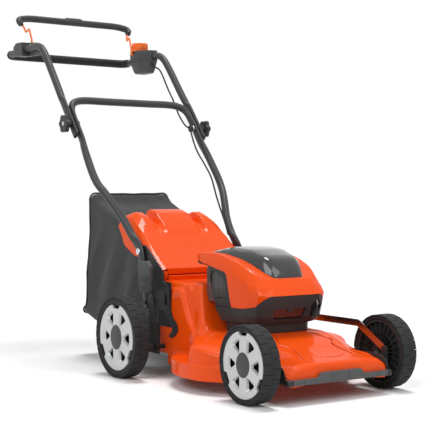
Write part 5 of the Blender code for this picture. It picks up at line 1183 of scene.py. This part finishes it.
finished(bagShell, "grass_bag", ["bag_fabric"], 60.0)

# stiff binding round the rear edge of the bag, and the hard lower lip
seam = [Vector(p) for p in rings[-6]]
binding = shaped("bagBinding", bagBinding, sweep, seam + seam[:2], (0.0026, 0.0026), 8)
finished(binding, "grass_bag", (), 60.0)

outer = bagRing(bag["front"], 0.0925, 0.231, 0.1422, 0.006, 2)
inner = bagRing(bag["front"], 0.1065, 0.217, 0.1162, 0.006, 2)
rings = []
for ring, depth in ((outer, 0.0), (outer, 0.007), (inner, 0.007), (inner, 0.0)):
    rings.append([(x, y + depth, z) for x, y, z in ring])
mouth = shaped("bagMouth", darkPlastic, band, rings)
bevelled(mouth, 0.0012, 2, 40.0)
finished(mouth, "grass_bag", ["bag_frame"])
print("bag made")


# handles

handle = {"radius": 0.0103, "jointY": 0.808, "jointZ": 0.643, "jointFlat": 0.0125, "lowerX": 0.1925,
          "crossY": 0.862, "crossZ": 0.7125, "footY": 0.531, "footZ": 0.306, "studY": 0.4965, "studZ": 0.18,
          "legX": 0.1531, "gripY": 1.234, "gripZ": 0.8708, "sleeve": 0.0125, "tall": 0.0135, "wall": 0.0015,
          "bolt": 0.0043}
handle["upperX"] = handle["lowerX"] + handle["jointFlat"] + 0.0003


def tubeFrom(name, half, material):
    # a symmetric tube, given on the left as (x, y, z) with its half widths behind where they differ
    sides, gap = 28, 0.008
    h = [Vector(p[:3]) for p in half]
    full = h + [Vector((-p.x, p.y, p.z)) for p in reversed(h)]
    sections = [p[3:] or (handle["radius"],) * 2 for p in half]
    sections = sections + sections[::-1]
    path = []
    wide = []
    knots = [full[0] * 2 - full[1]] + full + [full[-1] * 2 - full[-2]]
    for n, (a, b, c, d) in enumerate(zip(knots, knots[1:], knots[2:], knots[3:])):
        count = max(1, int(round((c - b).length / gap)))
        s0, s1 = sections[n], sections[min(n + 1, len(sections) - 1)]
        for i in range(count):
            t = i / count
            la, lb, lc = (b - a).length, (c - b).length, (d - c).length
            m0 = (c - b) / lb if la < 1e-6 else ((b - a) / la + (c - b) / lb) * 0.5
            m1 = (c - b) / lb if lc < 1e-6 else ((c - b) / lb + (d - c) / lc) * 0.5
            h00 = 2 * t ** 3 - 3 * t ** 2 + 1
            h10 = t ** 3 - 2 * t ** 2 + t
            h01 = -2 * t ** 3 + 3 * t ** 2
            h11 = t ** 3 - t ** 2
            path.append(b * h00 + m0 * lb * h10 + c * h01 + m1 * lb * h11)
            wide.append(between(s0, s1, smooth(t)))
    path.append(full[-1])
    wide.append(sections[-1])
    outside = sweepRings(path, wide, sides)
    inside = sweepRings(path, [(a - handle["wall"], b - handle["wall"]) for a, b in wide], sides)
    return shaped(name, material, band, outside + inside[::-1])


h = handle
r, jf = h["radius"], h["jointFlat"] / 2
jy, jz = h["jointY"], h["jointZ"]
lowerLeg = [(h["legX"], h["studY"] - 0.004, h["studZ"] - 0.014, 0.006, 0.0105),
            (h["legX"], h["studY"], h["studZ"], 0.006, 0.0125),
            (h["legX"], h["footY"] - 0.01, h["footZ"] - 0.034, 0.006, 0.0135),
            (h["legX"], h["footY"], h["footZ"], 0.006, 0.0145),
            (h["legX"], h["footY"] + 0.017, h["footZ"] + 0.021, 0.006, 0.0145),
            (0.156, 0.566, 0.344), (0.158, 0.58, 0.36), (0.164, 0.604, 0.39),
            (0.1755, 0.628, 0.422), (0.188, 0.656, 0.456), (0.195, 0.675, 0.4745),
            (0.1982, 0.692, 0.4942), (0.1978, 0.728, 0.5402),
            (0.195, jy - 0.05, jz - 0.064, jf + 0.002, h["tall"] - 0.001),
            (h["lowerX"], jy - 0.036, jz - 0.046, jf, h["tall"]), (h["lowerX"], jy, jz, jf, h["tall"]),
            (h["lowerX"] - 0.001, jy + 0.022, jz + 0.029, jf, h["tall"] - 0.001),
            (0.187, h["crossY"] - 0.018, h["crossZ"] - 0.02, r - 0.001, r),
            (0.178, h["crossY"] - 0.01, h["crossZ"] - 0.0095),
            (0.16, h["crossY"] - 0.004, h["crossZ"] - 0.0025),
            (0.138, h["crossY"] - 0.0005, h["crossZ"]), (0.07, h["crossY"], h["crossZ"])]
lowerTube = tubeFrom("lowerTube", lowerLeg, tubePaint)
for y, z in ((h["footY"], h["footZ"]), (h["studY"], h["studZ"]), (jy, jz)):
    carve(lowerTube, prism, circle(h["bolt"], 20, (y, z)), "x", -0.23, 0.23)
finished(lowerTube, "chassis", ["lower_handle"], 50.0)

slope = Vector((0.0, 0.6355, 0.772))
low = Vector((h["upperX"], jy, jz))
upperLeg = [(*(low - slope * 0.04), jf, h["tall"]), (*low, jf, h["tall"]),
            (*(low + slope * 0.089), jf, h["tall"]), (*(low + slope * 0.094), r - 0.001, r),
            (0.2043, 0.88, 0.7295), (0.2035, 0.895, 0.7472), (0.2025, 0.96, 0.8262), (0.202, 0.974, 0.8425),
            (0.2018, 0.99, 0.859), (0.2016, 1.008, 0.8715), (0.2015, 1.032, 0.8782), (0.2015, 1.06, 0.879),
            (0.2015, 1.15, 0.8752), (0.2025, 1.198, 0.8724), (0.2015, h["gripY"] - 0.021, 0.8716),
            (0.196, h["gripY"] - 0.008, 0.871), (0.186, h["gripY"] - 0.0012, h["gripZ"]),
            (0.172, h["gripY"], h["gripZ"]), (0.06, h["gripY"], h["gripZ"])]
upperTube = tubeFrom("upperTube", upperLeg, tubePaint)
carve(upperTube, prism, circle(h["bolt"], 20, (jy, jz)), "x", -0.24, 0.24)
finished(upperTube, "upper_handle", ["upper_handle"], 50.0)
for side, label in flanks:
    # dark plug in the open lower end of the tube
    start = Vector((side * h["upperX"], low.y, low.z)) - slope * 0.0405
    line = [start + slope * t for t in (-0.0018, -0.0004, -0.0002, 0.01)]
    sizes = [(jf - 0.0016, h["tall"] - 0.0018), (jf - 0.0002, h["tall"] - 0.0004),
             (jf - 0.0002, h["tall"] - 0.0004), (jf - 0.0017, h["tall"] - 0.0017)]
    plug = shaped("tubePlug_" + label, darkPlastic, sweep, line, sizes, 28)
    finished(plug, "upper_handle", (), 40.0)

sleeve = [(*p[:3], h["sleeve"], h["sleeve"]) for p in upperLeg if p[1] > h["gripY"] - 0.022]
grip = tubeFrom("gripSleeve", sleeve, gripRubber)
finished(grip, "upper_handle", ["push_grip"], 50.0)
print("handles made")


# joint bolts and star knobs

knobRadius = 0.026
for side, label in flanks:
    outer = side * (h["upperX"] + jf)
    inner = side * (h["lowerX"] - jf - 0.0003)
    shank = [(0.004, inner - side * 0.003), (0.0065, inner - side * 0.003), (0.0085, inner - side * 0.0018),
             (0.009, inner - side * 0.0006), (0.009, inner), (0.004, inner), (0.004, outer + side * 0.0115)]
    bolt = shaped("jointBolt_" + label, platedSteel, turned, shank, "x", (jy, jz), 32)
    finished(bolt, "chassis", ["knob_bolt_" + label])

    face = outer + side * 0.0003
    rings = []
    for share, depth, wave in ((0.42, 0.0, 0.02), (0.44, 0.008, 0.02), (0.6, 0.0088, 0.06),
                               (0.95, 0.0098, 0.1), (1.0, 0.012, 0.1), (1.0, 0.019, 0.1), (0.97, 0.0207, 0.1),
                               (0.9, 0.0215, 0.1), (0.52, 0.0213, 0.06), (0.44, 0.0205, 0.0),
                               (0.3, 0.0205, 0.0)):
        ring = []
        for k in range(96):
            a = 2 * math.pi * k / 96
            rr = knobRadius * share * ((1 - wave) + wave * math.cos(6 * a))
            ring.append((face + side * depth, *polar((jy, jz), rr, a)))
        rings.append(ring)
    knob = shaped("starKnob_" + label, darkPlastic, skin, rings)
    bore = circle(h["bolt"] + 0.0001, 20, (jy, jz))
    carve(knob, prism, bore, "x", face - side * 0.01, face + side * 0.012)
    finished(knob, "star_knob_" + label, ["star_knob_" + label], 35.0)
    dome = ((0.006, 0.0203), (0.006, 0.0208), (0.005, 0.0214), (0.0015, 0.0215))
    dome = [(reach, face + side * t) for reach, t in dome]
    dot = shaped("knobDot_" + label, silverCap, turned, dome, "x", (jy, jz), 24)
    finished(dot, "star_knob_" + label, ())


# control housing, start button and bail bracket

housing = {"low": (0.1745, 1.048, 0.829), "high": (0.2245, 1.16, 0.903), "slope": 0.006}
button = {"middle": (0.199, 1.133), "radius": 0.0255, "seat": 0.008, "tall": 0.0235, "travel": 0.004,
          "flutes": 30}
x0, y0, z0 = housing["low"]
x1, y1, z1 = housing["high"]
plan = [(x0 + 0.0135, y0), (x1 - 0.0125, y0), (x1, y0 + 0.027), (x1, y1 - 0.006), (x1 - 0.006, y1),
        (x0 + 0.004, y1), (x0, y1 - 0.01), (x0, y0 + 0.046)]
mid = ((x0 + x1) / 2, (y0 + y1) / 2 - 0.008)


def boxRing(z, across, backward):
    return [(mid[0] + (x - mid[0]) * across, mid[1] + (y - mid[1]) * backward, z) for x, y in plan]


rings = [boxRing(z0, 0.74, 0.62), boxRing(z0 + 0.007, 0.84, 0.72), boxRing(z1 - 0.036, 1.0, 1.0),
         boxRing(z1, 1.0, 1.0)]
rings[-1] = [(x, y, z - housing["slope"] * (y1 - y) / (y1 - y0)) for x, y, z in rings[-1]]
box = shaped("controlBox", greyPlastic, skin, rings)
bevelled(box, 0.0035, 4, 25.0)
plainMesh(box)
straight = [Vector(p[:3]) for p in upperLeg if 0.98 < p[1] < 1.2]
carve(box, sweep, straight, (r + 0.0003, r + 0.0003), 28)
seat = circle(button["radius"] + 0.0006, 64, button["middle"])
carve(box, prism, seat, "z", z1 - button["seat"], z1 + 0.02)
# parting line round the lower body
carve(box, band, [boxRing(z1 - 0.0372, 1.04, 1.02), boxRing(z1 - 0.0364, 1.04, 1.02),
                  boxRing(z1 - 0.0364, 0.955, 0.975), boxRing(z1 - 0.0372, 0.955, 0.975)])
finished(box, "upper_handle", ["control_housing"], 30.0)

lowest = z1 - button["seat"] + button["travel"] + 0.0003
top = z1 + button["tall"]
rb = button["radius"]
# what the radius and the height lose between the side and the hollow of the top
steps = ((0.0012, 0.007), (0.0004, 0.0062), (0.0002, 0.004), (0.0012, 0.0016), (0.0035, 0.0004),
         (0.0065, 0.0), (0.009, 0.0004), (0.0105, 0.0014))
profile = [(rb - 0.0012, lowest)] + [(rb - a, top - b) for a, b in steps] + [(0.004, top - 0.0016)]
press = shaped("startButton", orangePart, turned, profile, "z", button["middle"], 90)
flutes = blocks("buttonFlutes", roundAxle, orangePart, Count=button["flutes"], Reach=rb - 0.0015,
                Size=(0.012, 0.0026, 0.0028), Middle=(*button["middle"], top - 0.0138))
joined(press, flutes)
bevelled(press, 0.0005, 2, 35.0)
finished(press, "start_button", ["start_button"], 30.0)

outline = [(1.04, 0.862), (1.046, 0.883), (1.066, 0.893), (1.125, 0.8985), (1.15, 0.8985), (1.166, 0.89),
           (1.17, 0.868), (1.158, 0.859), (1.06, 0.855)]
clamp = shaped("bailClamp", greyPlastic, prism, outline, "x", -0.2175, -0.1795)
bevelled(clamp, 0.0045, 4, 30.0)
plainMesh(clamp)
carve(clamp, sweep, [Vector((-p.x, p.y, p.z)) for p in straight], (r + 0.0003, r + 0.0003), 28)
carve(clamp, prism, [(1.02, 0.84), (1.103, 0.84), (1.109, 0.92), (1.02, 0.92)], "x", -0.23, -0.1955)
split = [(1.1314, 0.84), (1.1326, 0.84), (1.1326, 0.91), (1.1314, 0.91)]
carve(clamp, prism, split, "x", -0.2185, -0.2164)
finished(clamp, "upper_handle", ["bail_bracket_right"], 30.0)
print("controls made")


# bail bar and its wires

bail = {"pivotY": 1.135, "pivotZ": 0.8895, "radius": 0.0096, "wire": 0.0028, "wireX": 0.17, "y": 1.2,
        "z": 0.9832}
half = [(0.1835, 1.1815, 0.9615), (0.188, 1.1855, 0.968), (0.187, 1.1915, 0.9735), (0.18, 1.1958, 0.9775),
        (0.165, 1.1985, 0.9808), (0.15, 1.1996, 0.9825), (0.13, bail["y"], bail["z"]),
        (0.07, bail["y"], bail["z"]), (0.0, bail["y"], bail["z"])]
path = curveThrough(mirrored(half), 0.006)
rr = bail["radius"]
bar = shaped("bailBar", tubePaint, sweep, path, (rr * 0.9, rr * 1.1), 28, roundEnds=0.0022)
# raised block at the middle of the bar
rings = []
for x, tall in ((-0.028, 0.0), (-0.0265, 0.003), (-0.022, 0.0042), (0.022, 0.0042), (0.0265, 0.003),
                (0.028, 0.0)):
    ring = []
    for k in range(28):
        a = 2 * math.pi * k / 28
        up = math.sin(a)
        reach = rr * 1.03 + (tall if up > 0.2 else 0.0)
        ring.append((x, bail["y"] + rr * 0.99 * math.cos(a), bail["z"] + reach * up))
    rings.append(ring)
block = shaped("bailBlock", tubePaint, skin, rings)
joined(bar, block)
finished(bar, "bail", ["bail_bar"], 45.0)

for side, label in flanks:
    endX = (x0 if side > 0 else 0.1795) + 0.0065
    wireX, pivotY, pivotZ = bail["wireX"], bail["pivotY"], bail["pivotZ"]
    points = [(endX, pivotY, pivotZ), (wireX + 0.003, pivotY, pivotZ),
              (wireX, pivotY + 0.0002, pivotZ + 0.003), (wireX, 1.1378, 0.911),
              (wireX + 0.0002, 1.1392, 0.915), (wireX + 0.0008, 1.1515, 0.9415),
              (wireX + 0.0012, 1.1545, 0.943), (wireX + 0.0026, 1.169, 0.9378),
              (wireX + 0.0034, 1.1718, 0.9388), (0.1762, 1.1765, 0.9495), (0.1848, 1.1852, 0.9672)]
    line = curveThrough([(side * x, y, z) for x, y, z in points], 0.0022)
    wire = shaped("bailWire_" + label, orangePart, sweep, line, (bail["wire"],) * 2, 16)
    finished(wire, "bail", ["bail_wire_" + label], 50.0)
    # dark collar where the wire enters the bar
    end = Vector((side * 0.181, 1.1812, 0.959))
    last, previous = [Vector((side * x, y, z)) for x, y, z in points[:-3:-1]]
    ahead = (last - previous).normalized()
    line = [end + ahead * t for t in (-0.003, -0.0024, 0.004)]
    sizes = [(0.0036, 0.0036), (0.0044, 0.0044), (0.0052, 0.0052)]
    collar = shaped("bailCollar_" + label, darkPlastic, sweep, line, sizes, 20)
    finished(collar, "bail", (), 40.0)
print("bail made")


# control cable: one line from the control box over the joint and down to the cover

clipX = 0.1735
upperRoute = [(0.194, 1.0475, 0.847), (0.1935, 1.036, 0.843), (0.193, 1.0096, 0.8347),
              (0.191, 0.9865, 0.8158), (0.188, 0.9471, 0.768), (0.183, 0.9113, 0.7332),
              (0.177, 0.869, 0.6858), (0.1745, 0.833, 0.6545), (clipX, jy + 0.0065, jz + 0.0034)]
lowerRoute = [(clipX, jy - 0.0065, jz - 0.0051), (clipX, 0.7821, 0.5998), (clipX, 0.7611, 0.5703),
              (0.172, 0.7226, 0.535), (0.168, 0.684, 0.4976), (0.156, 0.643, 0.45), (0.148, 0.612, 0.415),
              (0.144, 0.585, 0.38), (0.141, 0.562, 0.342)]
for name, route, body, node in (("cableAbove", upperRoute, "upper_handle", "upper_cable"),
                                ("cableBelow", lowerRoute, "chassis", "lower_cable")):
    cable = shaped(name, cableRubber, sweep, curveThrough(route, 0.008), (0.0024, 0.0024), 12)
    finished(cable, body, [node], 60.0)
# tapered strain relief at the box
start = Vector(upperRoute[0])
ahead = (Vector(upperRoute[1]) - start).normalized()
# place along the cable and half width
relief = ((-0.004, 0.0062), (0.0, 0.0062), (0.0012, 0.0058), (0.0042, 0.0056), (0.0048, 0.0045),
          (0.008, 0.0044), (0.0086, 0.0052), (0.0118, 0.0048), (0.0124, 0.0036), (0.016, 0.003))
line = [start + ahead * t for t, size in relief]
relief = shaped("cableRelief", darkPlastic, sweep, line, [(size, size) for t, size in relief], 24)
finished(relief, "upper_handle", (), 30.0)
print("cable made")


# ribs on the lever's grip, and a thin black sheet behind the right bracket, painted shade between the wheel
# and the deck

ribs = blocks("gripRibs", inRow, greyPlastic, Count=8, Size=(0.0026, 0.043, 0.0026),
              Start=(-0.1784, 0.4712, 0.2125), Step=(0.0, 0.0007, 0.0053))
bevelled(ribs, 0.0006, 2, 40.0)
finished(ribs, "rear_axle", (), 40.0)
# painted shade: a thin black sheet on the deck's side darkens the gap between the wheel and the deck
outline = [(0.398, 0.124), (0.453, 0.124), (0.453, 0.052), (0.512, 0.052), (0.512, 0.13), (0.4575, 0.13),
           (0.4575, 0.235), (0.398, 0.235)]
shadeSheet = shaped("bracketShadeSheet", gripRubber, prism, outline, "x", -0.1438, -0.1431)
finished(shadeSheet, "chassis", (), 40.0)


# finishes of the parts taken over as they are

finishes = {"battery_tray": darkPlastic, "controller_board": boardGreen, "motor_stator": motorSteel,
            "motor_rotor": motorSteel, "blade": bladeSteel, "blade_holder": platedSteel,
            "battery_pack": darkPlastic, "flap_hinge_rod": platedSteel, "front_axle": darkPaint,
            "rear_axle": darkPaint, "height_link": linkPaint, "height_lever": darkPlastic,
            "height_grip": greyPlastic, "handle_bracket_left": darkPaint, "handle_bracket_right": darkPaint,
            "handle_bolt_left": platedSteel, "handle_bolt_right": platedSteel, "cable_clip": darkPlastic}
for node, material in finishes.items():
    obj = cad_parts[node]
    for slotOf in obj.material_slots:
        slotOf.link = "DATA"
        slotOf.material = material
    if not obj.material_slots:
        obj.data.materials.append(material)
print("carried-over parts finished")
